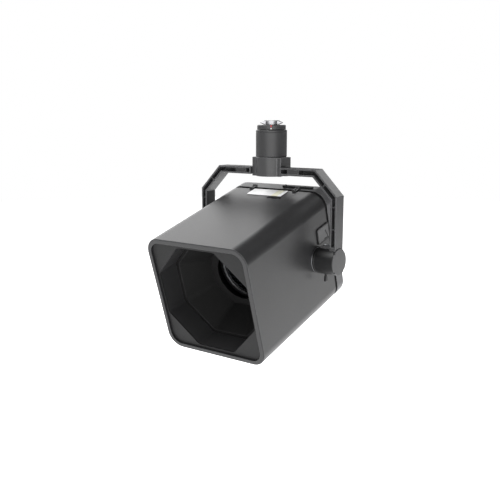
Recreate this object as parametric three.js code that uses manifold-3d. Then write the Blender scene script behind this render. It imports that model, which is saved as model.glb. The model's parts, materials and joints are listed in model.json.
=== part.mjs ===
// Square-hooded ellipsoidal spotlight that hangs from a quick-lock stud.
// Frame: millimetres, +Z up, front of the light towards -Y, origin at the centre of the stud's top face.

import * as THREE from "three";
import { mergeVertices } from "three/addons/utils/BufferGeometryUtils.js";
import Module from "manifold-3d";

const wasm = await Module();
wasm.setup();

// ---------------------------------------------------------------- driving dimensions

const GAP = 0.3; // between pieces that touch
const RUNNING_GAP = 0.35; // between a turning piece and what carries it
const PAST = 1; // how far a cutter runs past the face that it cuts
const ROUND = 32; // facets of a large round
const FINE = 16; // facets of a small round
const TINY = 8; // facets of a screw or pin
const CORNER = 6; // facets of a rounded corner

// Coupling at the top
const STUD_RADIUS = 12.9;
const STUD_TOP_CHAMFER = 0.6;
const LUG_TIP_RADIUS = 18.5;
const LUG_TIP_HEIGHT = 0.7;
const LUG_ROOT_HEIGHT = 5.4;
const LUG_SETBACK = 0.9; // below the stud's top face
const LUG_WIDTH = 18;
const STUD_SHANK_RADIUS = 9;
const STUD_HEIGHT = 7.1; // top face down to the lock ring
const CONTACT_COUNT = 4;
const CONTACT_CIRCLE_RADIUS = 7.5;
const CONTACT_RADIUS = 1.4;
const CONTACT_SETBACK = 0.6;
const CONTACT_DISC_HEIGHT = 2;
const RING_RADIUS = 23;
const RING_HEIGHT = 7.5;
const RING_CHAMFER = 1;
const MARK_DEPTH = 0.5;
const MARK_TURN_DEGREES = 33; // from the front towards +X
const MARK_TRIANGLE = 3.3;
const ADAPTER_RADIUS = 25;
const ADAPTER_HEIGHT = 43;
const ADAPTER_WALL = 3.2;
const ADAPTER_ROOF = 4;
const STUD_NUT_RADIUS = 15;
const STUD_NUT_HEIGHT = 5;
const STUD_THREAD_PAST_NUT = 2;
const TERMINAL_HEIGHT = 14;

// Pan pivot and block
const BLOCK_HALF_WIDTH = 28.1;
const BLOCK_FRONT = 14.2;
const BLOCK_REAR = 14.8;
const BLOCK_HEIGHT = 30.5;
const BLOCK_ROOF = 8; // metal above the nut pocket
const PAN_SHAFT_RADIUS = 9;
const PAN_SHAFT_BORE = 5;
const PAN_FLANGE_HEIGHT = 3;
const PAN_BUSH_WALL = 1.8;
const PAN_NUT_RADIUS = 13;
const PAN_NUT_HEIGHT = 5;
const PAN_POCKET_RADIUS = 14.5;
const PAN_WASHER_HEIGHT = 1.2;

// Yoke
const YOKE_HALF_WIDTH = 132.4;
const YOKE_ARM_THICKNESS = 10.7;
const YOKE_BAR_HEIGHT = 12.1;
const YOKE_DEPTH = 23.6;
const YOKE_SET_FORWARD = 7.3; // yoke plane ahead of the pan axis
const YOKE_TOP_BELOW_BLOCK_TOP = 15.7;
const YOKE_CHAMFER_RUN = 38.7; // across
const YOKE_CHAMFER_DROP = 39.8; // down
const YOKE_CHAMFER_THICKNESS = 11.4;
const YOKE_WALL = 2.8;
const YOKE_WEB = 4;
const YOKE_RIB = 1.8;
const YOKE_RIB_SETBACK = 2.4; // behind the yoke's front edges
const YOKE_BAR_PANEL = [40, 62]; // a shallow stretch of the bar, from the pan axis
const YOKE_BAR_PANEL_DEPTH = 4;
const YOKE_ARM_RIBS = [51, 85]; // above the tilt axis
const YOKE_POCKET_START = 31; // from the pan axis
const TONGUE_FRONT = 12;
const TONGUE_REAR = 2;
const YOKE_SCREW_ACROSS = 21;
const YOKE_SCREW_RADIUS = 2.4;
const YOKE_SCREW_HEAD_RADIUS = 4.2;
const YOKE_SCREW_HEAD_HEIGHT = 2.4;
const YOKE_SCREW_BITE = 5;

// Tilt pivot
const TILT_DROP = 141.4; // tilt axis below the bar's top face
const TILT_DEGREES = 16.58; // nose down in the modelled pose
const DRUM_RADIUS = 21;
const DRUM_WALL = 3.5;
const DRUM_CAP_THICKNESS = 1.6;
const DRUM_CAP_PROUD = 1.3;
const CAP_NOTCH = 3;
const CAP_NOTCH_DEGREES = [45, 135, 225, 315];
const TILT_SHAFT_RADIUS = 9;
const TILT_SHAFT_BORE = 5.5;
const TILT_SHAFT_INSIDE = 5;
const HUB_RADIUS = 20.4;
const HUB_HEIGHT = 1.2;
const TILT_BUSH_WALL = 2;
const TILT_BUSH_LENGTH = 18;
const TILT_NUT_RADIUS = 14;
const TILT_NUT_HEIGHT = 6;
const FOOT_LENGTH = 18;
const FOOT_HALF_DEPTH = 7;
const FOOT_THICKNESS = 2.6;
const FOOT_SCREW_SHARES = [0.3, 0.75]; // places along the foot, from the arm
const FOOT_SCREW_RADIUS = 2.3;
const FOOT_SCREW_HEAD = 1.6;
const FOOT_PLATE_THICKNESS = 0.8;
const LOCK_FROM_HEAD = 15.5;
const LOCK_SHANK_RADIUS = 2;
const LOCK_HEAD_LENGTH = 9;
const LOCK_HEAD_WIDTH = 7;
const LOCK_HEAD_THICKNESS = 3;
const LOCK_STAND_OFF = 3;
const LOCK_BITE = 5;

// Head housing
const HEAD_HALF_WIDTH = 94.7;
const HEAD_HALF_HEIGHT = 95.4;
const HEAD_CORNER_RADIUS = 25;
const HEAD_FRONT = 172; // rim face ahead of the tilt axis
const HEAD_SEAM = 44.6; // rear seam behind the tilt axis
const HEAD_DRAFT = 0.992; // front section over rear section
const HEAD_WALL = 2.6;
const GASKET_THICKNESS = 2;
const GASKET_INSET = 0.1;
const BEZEL_FACE_WIDTH = 7.2;
const BEZEL_INSET = 0.9;
const BEZEL_PROUD = 1;
const MASK_THICKNESS = 2;
const MASK_SETBACK = 3.5;

// Baffle
const BAFFLE_BORDER = 8.3; // from the housing's inner face to the nearest flat
const BAFFLE_WALL = 1.8;
const BAFFLE_LEDGE_STATION = 130;
const FUNNEL_LEDGE = 5; // from the tube's flats to the funnel's mouth
const FUNNEL_THROAT_APOTHEM = 52;
const FUNNEL_REAR_STATION = 84;
const FUNNEL_FLANGE = 2;
const BULKHEAD_THICKNESS = 2;

// Optics
const LENS_RADIUS = 45;
const LENS_EDGE = 4;
const LENS_CROWN = 11;
const CARRIAGE_STATION = 62;
const CARRIAGE_THICKNESS = 8;
const CARRIAGE_RIM = 5; // outside the lens
const CARRIAGE_BOSS_RADIUS = 6.5;
const CARRIAGE_LIP = 1.5;
const LENS_SEAT_WIDTH = 3;
const CARRIAGE_ARM_START = 25; // above the optical axis
const FOCUS_ACROSS = 22.5;
const FOCUS_WHEEL_STATION = -10.5;
const FOCUS_WHEEL_RADIUS = 22;
const FOCUS_WHEEL_WIDTH = 4.4;
const FOCUS_WHEEL_PROUD = 1.2;
const FOCUS_SLOT_LENGTH = 26;
const FOCUS_SLOT_WIDTH = 5.8;
const FOCUS_SCREW_RADIUS = 3;
const GUIDE_ROD_RADIUS = 3;
const GUIDE_ROD_CLEARANCE = 10; // from the carriage's ring to the rod's axis
const GATE_STATION = 0;
const GATE_THICKNESS = 3;
const GATE_APERTURE_RADIUS = 26;
const GATE_BELOW_GUIDE = 6; // from the rod's axis
const GATE_NOTCH_HALF_HEIGHT = 14;
const GATE_NOTCH_DEPTH = 8;
const STANDOFF_RADIUS = 3;
const STANDOFF_ACROSS = 50;
const REFLECTOR_MOUTH_RADIUS = 34;
const REFLECTOR_THROAT_RADIUS = 13;
const REFLECTOR_LENGTH = 26;
const REFLECTOR_WALL = 1.2;
const LED_RADIUS = 19;
const LED_THICKNESS = 2.5;
const EMITTER_RADIUS = 11;
const EMITTER_HEIGHT = 1;
const SINK_HALF_WIDTH = 58;
const SINK_BASE = 5;
const SINK_FIN_LENGTH = 16;
const SINK_FIN_THICKNESS = 2;
const SINK_FIN_COUNT = 11;
const FAN_RADIUS = 32;
const FAN_HUB_RADIUS = 11;
const FAN_DEPTH = 9;
const FAN_BLADE_COUNT = 7;
const FAN_BLADE_THICKNESS = 1.4;
const FAN_BLADE_CHORD = 0.84; // share of the depth behind the frame
const FAN_BLADE_DEGREES = 40;
const FAN_BLADE_ROOT = 2; // inside the hub
const FAN_FRAME_WALL = 2.2;
const DRIVER_WIDTH = 96;
const DRIVER_BELOW_GUIDE = 7.7; // from the rod's axis
const DRIVER_LENGTH = 62;
const DRIVER_FRONT = 24;

// Rear cover
const COVER_RIM_DEPTH = 21;
const COVER_DEPTH = 33;
const COVER_BEVEL = 17;
const COVER_WALL = 2.4;
const COVER_VENT_COUNT = 7;
const COVER_VENT_LENGTH = 76;
const COVER_VENT_WIDTH = 5;
const COVER_VENT_PITCH = 11;
const HINGE_RADIUS = 3;
const HINGE_PIN_RADIUS = 1.2;
const HINGE_ACROSS = 46;
const HINGE_KNUCKLE = 9;
const HINGE_LEAF_LENGTH = 8; // from the seam
const HINGE_LEAF_START = 1.5; // from the seam
const CLIP_ACROSS = 42.5;
const CLIP_WIDTH = 8;
const CLIP_THICKNESS = 1.6;
const CLIP_FORWARD = 6;
const CLIP_REARWARD = 7;
const LATCH_PIVOT_ACROSS = 14;
const LATCH_LENGTH = 54;
const LATCH_WIDTH = 4.6;
const LATCH_THICKNESS = 2.6;
const LATCH_HEAD_RADIUS = 4;
const LATCH_HEAD_PROUD = 0.6;
const LATCH_BEHIND_SEAM = 12;

// Outside details of the head
const LABEL_WIDTH = 67;
const LABEL_LENGTH = 24;
const LABEL_ACROSS = -2;
const LABEL_STATION = -28;
const LABEL_THICKNESS = 0.5;
const SIDE_PLATE_TOP = 46.8;
const SIDE_PLATE_FRONT = -7;
const SIDE_PLATE_BOTTOM = 20.8;
const SIDE_PLATE_THICKNESS = 1.4;

// ---------------------------------------------------------------- worked-out places

const ringTop = -STUD_HEIGHT;
const ringBottom = ringTop - RING_HEIGHT;
const adapterTop = ringBottom - GAP;
const adapterBottom = adapterTop - ADAPTER_HEIGHT;
const blockTop = adapterBottom - GAP;
const blockBottom = blockTop - BLOCK_HEIGHT;
const barTop = blockTop - YOKE_TOP_BELOW_BLOCK_TOP;
const barBottom = barTop - YOKE_BAR_HEIGHT;
const yokeY = -YOKE_SET_FORWARD;
const yokeFront = yokeY - YOKE_DEPTH / 2;
const yokeRear = yokeY + YOKE_DEPTH / 2;
const tiltZ = barTop - TILT_DROP;
const armInner = YOKE_HALF_WIDTH - YOKE_ARM_THICKNESS;
const hubEnd = HEAD_HALF_WIDTH + GAP + HUB_HEIGHT;
const drumStart = hubEnd + RUNNING_GAP;
const drumEnd = YOKE_HALF_WIDTH + DRUM_CAP_PROUD - DRUM_CAP_THICKNESS - GAP;
const capEnd = YOKE_HALF_WIDTH + DRUM_CAP_PROUD;
const innerHalfWidth = HEAD_HALF_WIDTH * HEAD_DRAFT - HEAD_WALL;
const innerHalfHeight = HEAD_HALF_HEIGHT * HEAD_DRAFT - HEAD_WALL;
const frontHalfWidth = HEAD_HALF_WIDTH * HEAD_DRAFT;
const frontHalfHeight = HEAD_HALF_HEIGHT * HEAD_DRAFT;
const carriageRadius = LENS_RADIUS + CARRIAGE_RIM;
const lensWindowRadius = LENS_RADIUS - LENS_SEAT_WIDTH;
const guideRodDrop = carriageRadius + GUIDE_ROD_CLEARANCE;
const focusHeight = HEAD_HALF_HEIGHT + FOCUS_WHEEL_PROUD - FOCUS_WHEEL_RADIUS;
const baffleApothem = Math.min(innerHalfWidth, innerHalfHeight) - BAFFLE_BORDER;
const funnelMouthApothem = baffleApothem - FUNNEL_LEDGE;
const housingFront = HEAD_FRONT - BEZEL_PROUD;
const housingRear = -HEAD_SEAM + GASKET_THICKNESS / 2 + GAP;
const coverFront = -HEAD_SEAM - GASKET_THICKNESS / 2 - GAP;
const maskFront = HEAD_FRONT - MASK_SETBACK;
const maskRear = maskFront - MASK_THICKNESS;
const gateRear = GATE_STATION - GATE_THICKNESS;
const reflectorFront = gateRear - GAP;
const ledFront = reflectorFront - REFLECTOR_LENGTH - GAP;
const sinkFront = ledFront - LED_THICKNESS - GAP;
const finFront = sinkFront - SINK_BASE;
const finRear = finFront - SINK_FIN_LENGTH;
const fanFront = finRear - GAP;
const fanRear = fanFront - FAN_DEPTH;
const shankBottom = adapterTop - ADAPTER_ROOF - GAP - STUD_NUT_HEIGHT - STUD_THREAD_PAST_NUT;
const contactDiscTop = shankBottom - GAP;
const terminalTop = contactDiscTop - CONTACT_DISC_HEIGHT - GAP;
const pocketTop = blockTop - BLOCK_ROOF;
const panWasherTop = pocketTop - GAP;
const panNutTop = panWasherTop - PAN_WASHER_HEIGHT - GAP;
const panShaftBottom = panNutTop - PAN_NUT_HEIGHT;
const hingeDrop = HEAD_HALF_HEIGHT + HINGE_RADIUS + GAP;

// ---------------------------------------------------------------- materials

function finish(colour, roughness, metalness) {
  return () => new THREE.MeshStandardMaterial({ color: colour, roughness, metalness });
}

const paint = finish(0x4a4a4c, 0.5, 0.2);
const darkPaint = finish(0x2e2e30, 0.6, 0.2);
const blackPlastic = finish(0x161616, 0.6, 0);
const chrome = finish(0xe6e6e6, 0.12, 1);
const steel = finish(0xb8b8ba, 0.35, 1);
const aluminium = finish(0xc4c6c8, 0.4, 1);
const brass = finish(0xc29a4a, 0.35, 1);
const rubber = finish(0x0c0c0c, 0.85, 0);
const glass = finish(0xd8e4ea, 0.05, 0);
const whitePlastic = finish(0xf0f0ee, 0.5, 0);
const redPaint = finish(0xc02020, 0.5, 0);
const bushPlastic = finish(0xd8d2c0, 0.6, 0);

// ---------------------------------------------------------------- solids

// A three.js geometry as a solid that can be cut and joined.
function solid(geometry) {
  const bare = geometry.clone();
  bare.deleteAttribute("normal");
  bare.deleteAttribute("uv");
  const merged = mergeVertices(bare, 1e-4);
  const mesh = new wasm.Mesh({
    numProp: 3,
    vertProperties: new Float32Array(merged.attributes.position.array),
    triVerts: new Uint32Array(merged.index.array),
  });
  return new wasm.Manifold(mesh);
}

// A solid back as a three.js geometry.
function geometryOf(body) {
  const mesh = body.getMesh();
  const geometry = new THREE.BufferGeometry();
  geometry.setAttribute("position", new THREE.BufferAttribute(new Float32Array(mesh.vertProperties), 3));
  geometry.setIndex(new THREE.BufferAttribute(new Uint32Array(mesh.triVerts), 1));
  const flat = geometry.toNonIndexed();
  flat.computeVertexNormals();
  return flat;
}

function join(first, ...others) {
  return others.reduce((whole, other) => whole.add(other), first);
}

function cut(first, ...tools) {
  return tools.reduce((whole, tool) => whole.subtract(tool), first);
}

// A box between two corners.
function block(x, y, z) {
  const geometry = new THREE.BoxGeometry(x[1] - x[0], y[1] - y[0], z[1] - z[0]);
  geometry.translate((x[0] + x[1]) / 2, (y[0] + y[1]) / 2, (z[0] + z[1]) / 2);
  return solid(geometry);
}

// A round bar along an axis, between two places on it, around a centre in the other two.
function bar(axis, from, to, radius, centre = [0, 0], sides = FINE) {
  const geometry = new THREE.CylinderGeometry(radius, radius, to - from, sides);
  geometry.translate(0, (from + to) / 2, 0);
  if (axis === "x") {
    geometry.rotateZ(-Math.PI / 2);
    geometry.translate(0, centre[0], centre[1]);
  } else if (axis === "y") {
    geometry.translate(centre[0], 0, centre[1]);
  } else {
    geometry.rotateX(Math.PI / 2);
    geometry.translate(centre[0], centre[1], 0);
  }
  return solid(geometry);
}

// A body of revolution about Z from [radius, height] points that start and end on the axis.
function turned(points, sides = ROUND) {
  const profile = points.map(([radius, height]) => new THREE.Vector2(radius, height));
  const geometry = new THREE.LatheGeometry(profile, sides);
  geometry.rotateX(Math.PI / 2);
  return solid(geometry);
}

// A flat outline from its corner points.
function outline(points) {
  return new THREE.Shape(points.map(([x, y]) => new THREE.Vector2(x, y)));
}

function roundedRectangle(halfWidth, halfHeight, radius) {
  const shape = new THREE.Shape();
  const x = halfWidth - radius;
  const y = halfHeight - radius;
  shape.absarc(x, y, radius, 0, Math.PI / 2);
  shape.absarc(-x, y, radius, Math.PI / 2, Math.PI);
  shape.absarc(-x, -y, radius, Math.PI, Math.PI * 1.5);
  shape.absarc(x, -y, radius, Math.PI * 1.5, Math.PI * 2);
  return shape;
}

// A slab of an outline drawn across and up, running between two stations along the light's axis.
// A station is a distance ahead of the tilt axis, so it is -Y in the head's own frame.
function slabGeometry(shape, rear, front, curveSegments) {
  const depth = front - rear;
  const geometry = new THREE.ExtrudeGeometry(shape, { depth, bevelEnabled: false, curveSegments });
  geometry.rotateX(Math.PI / 2);
  geometry.translate(0, -rear, 0);
  return geometry;
}

function slab(shape, rear, front, curveSegments = CORNER) {
  return solid(slabGeometry(shape, rear, front, curveSegments));
}

// A round bar along the light's axis between two stations.
function axial(rear, front, radius, centre = [0, 0], sides = FINE) {
  return bar("y", -front, -rear, radius, centre, sides);
}

// A pyramid slice with eight sides, flat at the top, between two stations.
function octagon(rear, front, rearApothem, frontApothem) {
  const toCorner = 1 / Math.cos(Math.PI / 8);
  const geometry = new THREE.CylinderGeometry(
    rearApothem * toCorner,
    frontApothem * toCorner,
    front - rear,
    8,
  );
  geometry.rotateY(Math.PI / 8);
  geometry.translate(0, -(front + rear) / 2, 0);
  return solid(geometry);
}

// A round-cornered rectangle's slab whose width and height change evenly from its rear to its front.
function taperedSlab(halfWidth, halfHeight, radius, rear, front, rearScale, frontScale) {
  const shape = roundedRectangle(halfWidth, halfHeight, radius);
  const geometry = slabGeometry(shape, rear, front, CORNER);
  const place = geometry.getAttribute("position");
  for (let i = 0; i < place.count; i += 1) {
    const along = (-place.getY(i) - rear) / (front - rear);
    const scale = rearScale + (frontScale - rearScale) * along;
    place.setX(i, place.getX(i) * scale);
    place.setZ(i, place.getZ(i) * scale);
  }
  return solid(geometry);
}

// The housing's section is full size at the seam and slightly smaller at the front.
function draftAt(station) {
  const along = (station + HEAD_SEAM) / (HEAD_FRONT + HEAD_SEAM);
  return 1 + (HEAD_DRAFT - 1) * along;
}

function housingSlab(inset, rear, front) {
  return taperedSlab(
    HEAD_HALF_WIDTH - inset,
    HEAD_HALF_HEIGHT - inset,
    HEAD_CORNER_RADIUS - inset,
    rear,
    front,
    draftAt(rear),
    draftAt(front),
  );
}

function turnedAbout(body, axis, degrees) {
  const geometry = geometryOf(body);
  const angle = (degrees * Math.PI) / 180;
  if (axis === "x") geometry.rotateX(angle);
  if (axis === "y") geometry.rotateY(angle);
  if (axis === "z") geometry.rotateZ(angle);
  return solid(geometry);
}

// ---------------------------------------------------------------- assembly

const spotlight = new THREE.Group();
const head = new THREE.Group();
head.position.set(0, yokeY, tiltZ);
head.rotation.x = (TILT_DEGREES * Math.PI) / 180;
spotlight.add(head);

function add(parent, name, body, material) {
  const mesh = new THREE.Mesh(geometryOf(body), material());
  mesh.name = name;
  parent.add(mesh);
}

// ---------------------------------------------------------------- coupling

function aroundCircle(count, radius, make) {
  const made = [];
  for (let i = 0; i < count; i += 1) {
    const angle = (2 * Math.PI * (i + 0.5)) / count;
    made.push(make(radius * Math.cos(angle), radius * Math.sin(angle), angle));
  }
  return made;
}

function contactHoles(radius, from, to) {
  const hole = (x, y) => bar("z", from, to, radius, [x, y], TINY);
  return aroundCircle(CONTACT_COUNT, CONTACT_CIRCLE_RADIUS, hole);
}

// The left and right lugs narrow to a blunt edge, and stand across the direction of the index mark.
function studLugs() {
  const top = -LUG_SETBACK;
  const bottom = top - LUG_ROOT_HEIGHT;
  const middle = (top + bottom) / 2;
  const ring = turned([
    [0, bottom],
    [STUD_RADIUS, bottom],
    [LUG_TIP_RADIUS, middle - LUG_TIP_HEIGHT / 2],
    [LUG_TIP_RADIUS, middle + LUG_TIP_HEIGHT / 2],
    [STUD_RADIUS, top],
    [0, top],
  ]);
  const across = LUG_TIP_RADIUS + PAST;
  const keep = block([-across, across], [-LUG_WIDTH / 2, LUG_WIDTH / 2], [bottom - PAST, top + PAST]);
  return ring.intersect(turnedAbout(keep, "z", MARK_TURN_DEGREES));
}

function couplingStud() {
  const body = turned([
    [0, shankBottom],
    [STUD_SHANK_RADIUS, shankBottom],
    [STUD_SHANK_RADIUS, ringTop],
    [STUD_RADIUS, ringTop + GAP],
    [STUD_RADIUS, -STUD_TOP_CHAMFER],
    [STUD_RADIUS - STUD_TOP_CHAMFER, 0],
    [0, 0],
  ]);
  const pinHoles = contactHoles(CONTACT_RADIUS + GAP, shankBottom - PAST, PAST);
  return cut(join(body, studLugs()), ...pinHoles);
}

// The pins stand on one disc below the stud's shank.
function contactPins() {
  const pins = contactHoles(CONTACT_RADIUS, contactDiscTop - PAST, -CONTACT_SETBACK);
  const disc = bar("z", contactDiscTop - CONTACT_DISC_HEIGHT, contactDiscTop, STUD_SHANK_RADIUS);
  return join(disc, ...pins);
}

function lockRing() {
  const bottom = ringBottom;
  const body = turned([
    [0, bottom],
    [RING_RADIUS, bottom],
    [RING_RADIUS, ringTop - RING_CHAMFER],
    [RING_RADIUS - RING_CHAMFER, ringTop],
    [0, ringTop],
  ]);
  return cut(body, bar("z", bottom - PAST, ringTop + PAST, STUD_SHANK_RADIUS + RUNNING_GAP));
}

// A small triangle on the ring's side that points down at the adapter.
function indexMark() {
  const top = ringTop - RING_CHAMFER;
  const triangle = new THREE.ExtrudeGeometry(
    outline([
      [-MARK_TRIANGLE / 2, top],
      [0, top - MARK_TRIANGLE],
      [MARK_TRIANGLE / 2, top],
    ]),
    { depth: MARK_DEPTH, bevelEnabled: false },
  );
  triangle.rotateX(Math.PI / 2);
  triangle.translate(0, -RING_RADIUS - GAP, 0);
  triangle.rotateZ((MARK_TURN_DEGREES * Math.PI) / 180);
  return solid(triangle);
}

function adapterBody() {
  const outer = bar("z", adapterBottom, adapterTop, ADAPTER_RADIUS, [0, 0], ROUND);
  const boreRadius = ADAPTER_RADIUS - ADAPTER_WALL;
  const hollow = bar("z", adapterBottom - PAST, adapterTop - ADAPTER_ROOF, boreRadius, [0, 0], ROUND);
  const shankHole = bar("z", adapterBottom, adapterTop + PAST, STUD_SHANK_RADIUS + GAP);
  return cut(outer, hollow, shankHole);
}

function studNut() {
  const top = adapterTop - ADAPTER_ROOF - GAP;
  const body = bar("z", top - STUD_NUT_HEIGHT, top, STUD_NUT_RADIUS, [0, 0], 6);
  return cut(body, bar("z", top - STUD_NUT_HEIGHT - PAST, top + PAST, STUD_SHANK_RADIUS + GAP));
}

function terminalBlock() {
  const radius = ADAPTER_RADIUS - ADAPTER_WALL - GAP;
  return bar("z", terminalTop - TERMINAL_HEIGHT, terminalTop, radius, [0, 0], FINE);
}

add(spotlight, "coupling_stud", couplingStud(), chrome);
add(spotlight, "contact_pins", contactPins(), brass);
add(spotlight, "lock_ring", lockRing(), darkPaint);
add(spotlight, "index_mark", indexMark(), redPaint);
add(spotlight, "adapter_body", adapterBody(), darkPaint);
add(spotlight, "stud_nut", studNut(), steel);
add(spotlight, "terminal_block", terminalBlock(), bushPlastic);

// ---------------------------------------------------------------- pan pivot and block

function panShaft() {
  const flangeRadius = ADAPTER_RADIUS - ADAPTER_WALL - GAP;
  const flange = bar("z", adapterBottom, adapterBottom + PAN_FLANGE_HEIGHT, flangeRadius, [0, 0], ROUND);
  const shaft = bar("z", panShaftBottom, adapterBottom + PAN_FLANGE_HEIGHT, PAN_SHAFT_RADIUS);
  const wireWay = bar("z", panShaftBottom - PAST, adapterBottom + PAN_FLANGE_HEIGHT + PAST, PAN_SHAFT_BORE);
  return cut(join(flange, shaft), wireWay);
}

function ringBelow(top, height, radius, bore, sides) {
  const body = bar("z", top - height, top, radius, [0, 0], sides);
  return cut(body, bar("z", top - height - PAST, top + PAST, bore));
}

const bushBore = PAN_SHAFT_RADIUS + RUNNING_GAP;
const bushRadius = bushBore + PAN_BUSH_WALL;

function tongueSpace(gap) {
  const length = BLOCK_HALF_WIDTH + PAST;
  return block(
    [-length, length],
    [-TONGUE_FRONT - gap, TONGUE_REAR + gap],
    [blockBottom - PAST, barTop + gap],
  );
}

const yokeScrewY = (TONGUE_REAR - TONGUE_FRONT) / 2;
const yokeScrewTop = barTop + GAP + YOKE_SCREW_BITE;

function yokeScrewBars(from, to, radius) {
  return [-1, 1].map((side) => bar("z", from, to, radius, [side * YOKE_SCREW_ACROSS, yokeScrewY], TINY));
}

function panBlock() {
  const plate = block(
    [-BLOCK_HALF_WIDTH, BLOCK_HALF_WIDTH],
    [-BLOCK_FRONT, BLOCK_REAR],
    [blockBottom, blockTop],
  );
  const boss = bar("z", blockBottom, blockTop, ADAPTER_RADIUS, [0, 0], ROUND);
  const bushHole = bar("z", pocketTop - PAST, blockTop + PAST, bushRadius + GAP);
  const pocket = bar("z", blockBottom - PAST, pocketTop, PAN_POCKET_RADIUS);
  const screwHoles = yokeScrewBars(barTop, yokeScrewTop + GAP, YOKE_SCREW_RADIUS + GAP);
  return cut(join(plate, boss), bushHole, pocket, tongueSpace(GAP), ...screwHoles);
}

// The left and right screws that hold the block on the yoke, from below.
function yokeScrews() {
  const shanks = yokeScrewBars(barBottom - GAP, yokeScrewTop, YOKE_SCREW_RADIUS);
  const heads = yokeScrewBars(
    barBottom - GAP - YOKE_SCREW_HEAD_HEIGHT,
    barBottom - GAP,
    YOKE_SCREW_HEAD_RADIUS,
  );
  return shanks.map((shank, i) => join(shank, heads[i]));
}

add(spotlight, "pan_shaft", panShaft(), steel);
const panWasher = ringBelow(panWasherTop, PAN_WASHER_HEIGHT, PAN_NUT_RADIUS, bushBore, FINE);
add(spotlight, "pan_washer", panWasher, steel);
const panNut = ringBelow(panNutTop, PAN_NUT_HEIGHT, PAN_NUT_RADIUS, PAN_SHAFT_RADIUS + GAP, 6);
add(spotlight, "pan_nut", panNut, steel);
add(spotlight, "pan_bush", ringBelow(blockTop, BLOCK_ROOF, bushRadius, bushBore, FINE), bushPlastic);
add(spotlight, "pan_block", panBlock(), paint);
const [leftYokeScrew, rightYokeScrew] = yokeScrews();
add(spotlight, "yoke_screw_left", leftYokeScrew, steel);
add(spotlight, "yoke_screw_right", rightYokeScrew, steel);

// ---------------------------------------------------------------- yoke

const chamferAngle = Math.atan2(YOKE_CHAMFER_DROP, YOKE_CHAMFER_RUN);
const chamferStart = YOKE_HALF_WIDTH - YOKE_CHAMFER_RUN;

// The right half of a line that runs inside the yoke's outer face, at its own depth in the bar,
// the chamfer and the arm: its corner at the bar and its corner at the arm.
function yokeLine(barInset, chamferInset, armInset) {
  const cosine = Math.cos(chamferAngle);
  const sine = Math.sin(chamferAngle);
  const startX = chamferStart - chamferInset * sine;
  const startZ = barTop - chamferInset * cosine;
  const toBar = (startZ - (barTop - barInset)) / sine;
  const armX = YOKE_HALF_WIDTH - armInset;
  const toArm = (armX - startX) / cosine;
  return {
    top: [startX + toBar * cosine, barTop - barInset],
    low: [armX, startZ - toArm * sine],
  };
}

// The yoke's outline between two such lines, with the arms ending at a height.
function yokeBand(outer, inner, armEnd) {
  const right = [
    [outer.low[0], armEnd],
    outer.low,
    outer.top,
  ];
  const rightInside = [
    inner.top,
    inner.low,
    [inner.low[0], armEnd],
  ];
  const mirrored = (points) => points.map(([x, z]) => [-x, z]).reverse();
  return outline([...right, ...mirrored(right), ...mirrored(rightInside), ...rightInside]);
}

// Two distances from the middle, as ends along X on one side.
function sideEnds(side, near, far) {
  return side > 0 ? [near, far] : [-far, -near];
}

function atBothSides(make) {
  return [-1, 1].map(make);
}

function drumSpace(side, radius) {
  const from = drumStart - PAST;
  const to = capEnd + PAST;
  const ends = side > 0 ? [from, to] : [-to, -from];
  return bar("x", ends[0], ends[1], radius, [yokeY, tiltZ], ROUND);
}

function footScrewPlaces(side) {
  return FOOT_SCREW_SHARES.map((share) => side * (armInner - FOOT_LENGTH * share));
}

const footTop = tiltZ + DRUM_RADIUS + GAP + FOOT_THICKNESS;
const footBottom = tiltZ + DRUM_RADIUS / 2;

function yokeFoot(side) {
  const ends = [armInner - FOOT_LENGTH, armInner + PAST].map((x) => side * x).sort((a, b) => a - b);
  return block(ends, [yokeY - FOOT_HALF_DEPTH, yokeY + FOOT_HALF_DEPTH], [footBottom, footTop]);
}

function yokeRibs() {
  const deep = [yokeFront + YOKE_RIB_SETBACK, yokeRear];
  const half = YOKE_RIB / 2;
  const panelDepth = [yokeFront + YOKE_BAR_PANEL_DEPTH, yokeRear];
  const barPanels = atBothSides((side) =>
    block(sideEnds(side, ...YOKE_BAR_PANEL), panelDepth, [barBottom, barTop]),
  );
  const armRibs = YOKE_ARM_RIBS.flatMap((z) =>
    atBothSides((side) => {
      const ends = [side * armInner, side * YOKE_HALF_WIDTH].sort((a, b) => a - b);
      return block(ends, deep, [tiltZ + z - half, tiltZ + z + half]);
    }),
  );
  const middleX = chamferStart + YOKE_CHAMFER_RUN / 2;
  const middleZ = barTop - YOKE_CHAMFER_DROP / 2;
  const chamferRibs = atBothSides((side) => {
    const rib = block([-half, half], deep, [-YOKE_CHAMFER_THICKNESS - PAST, PAST]);
    const leaning = geometryOf(rib);
    leaning.rotateY(side * chamferAngle);
    leaning.translate(side * middleX, 0, middleZ);
    return solid(leaning);
  });
  return [...barPanels, ...armRibs, ...chamferRibs];
}

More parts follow.
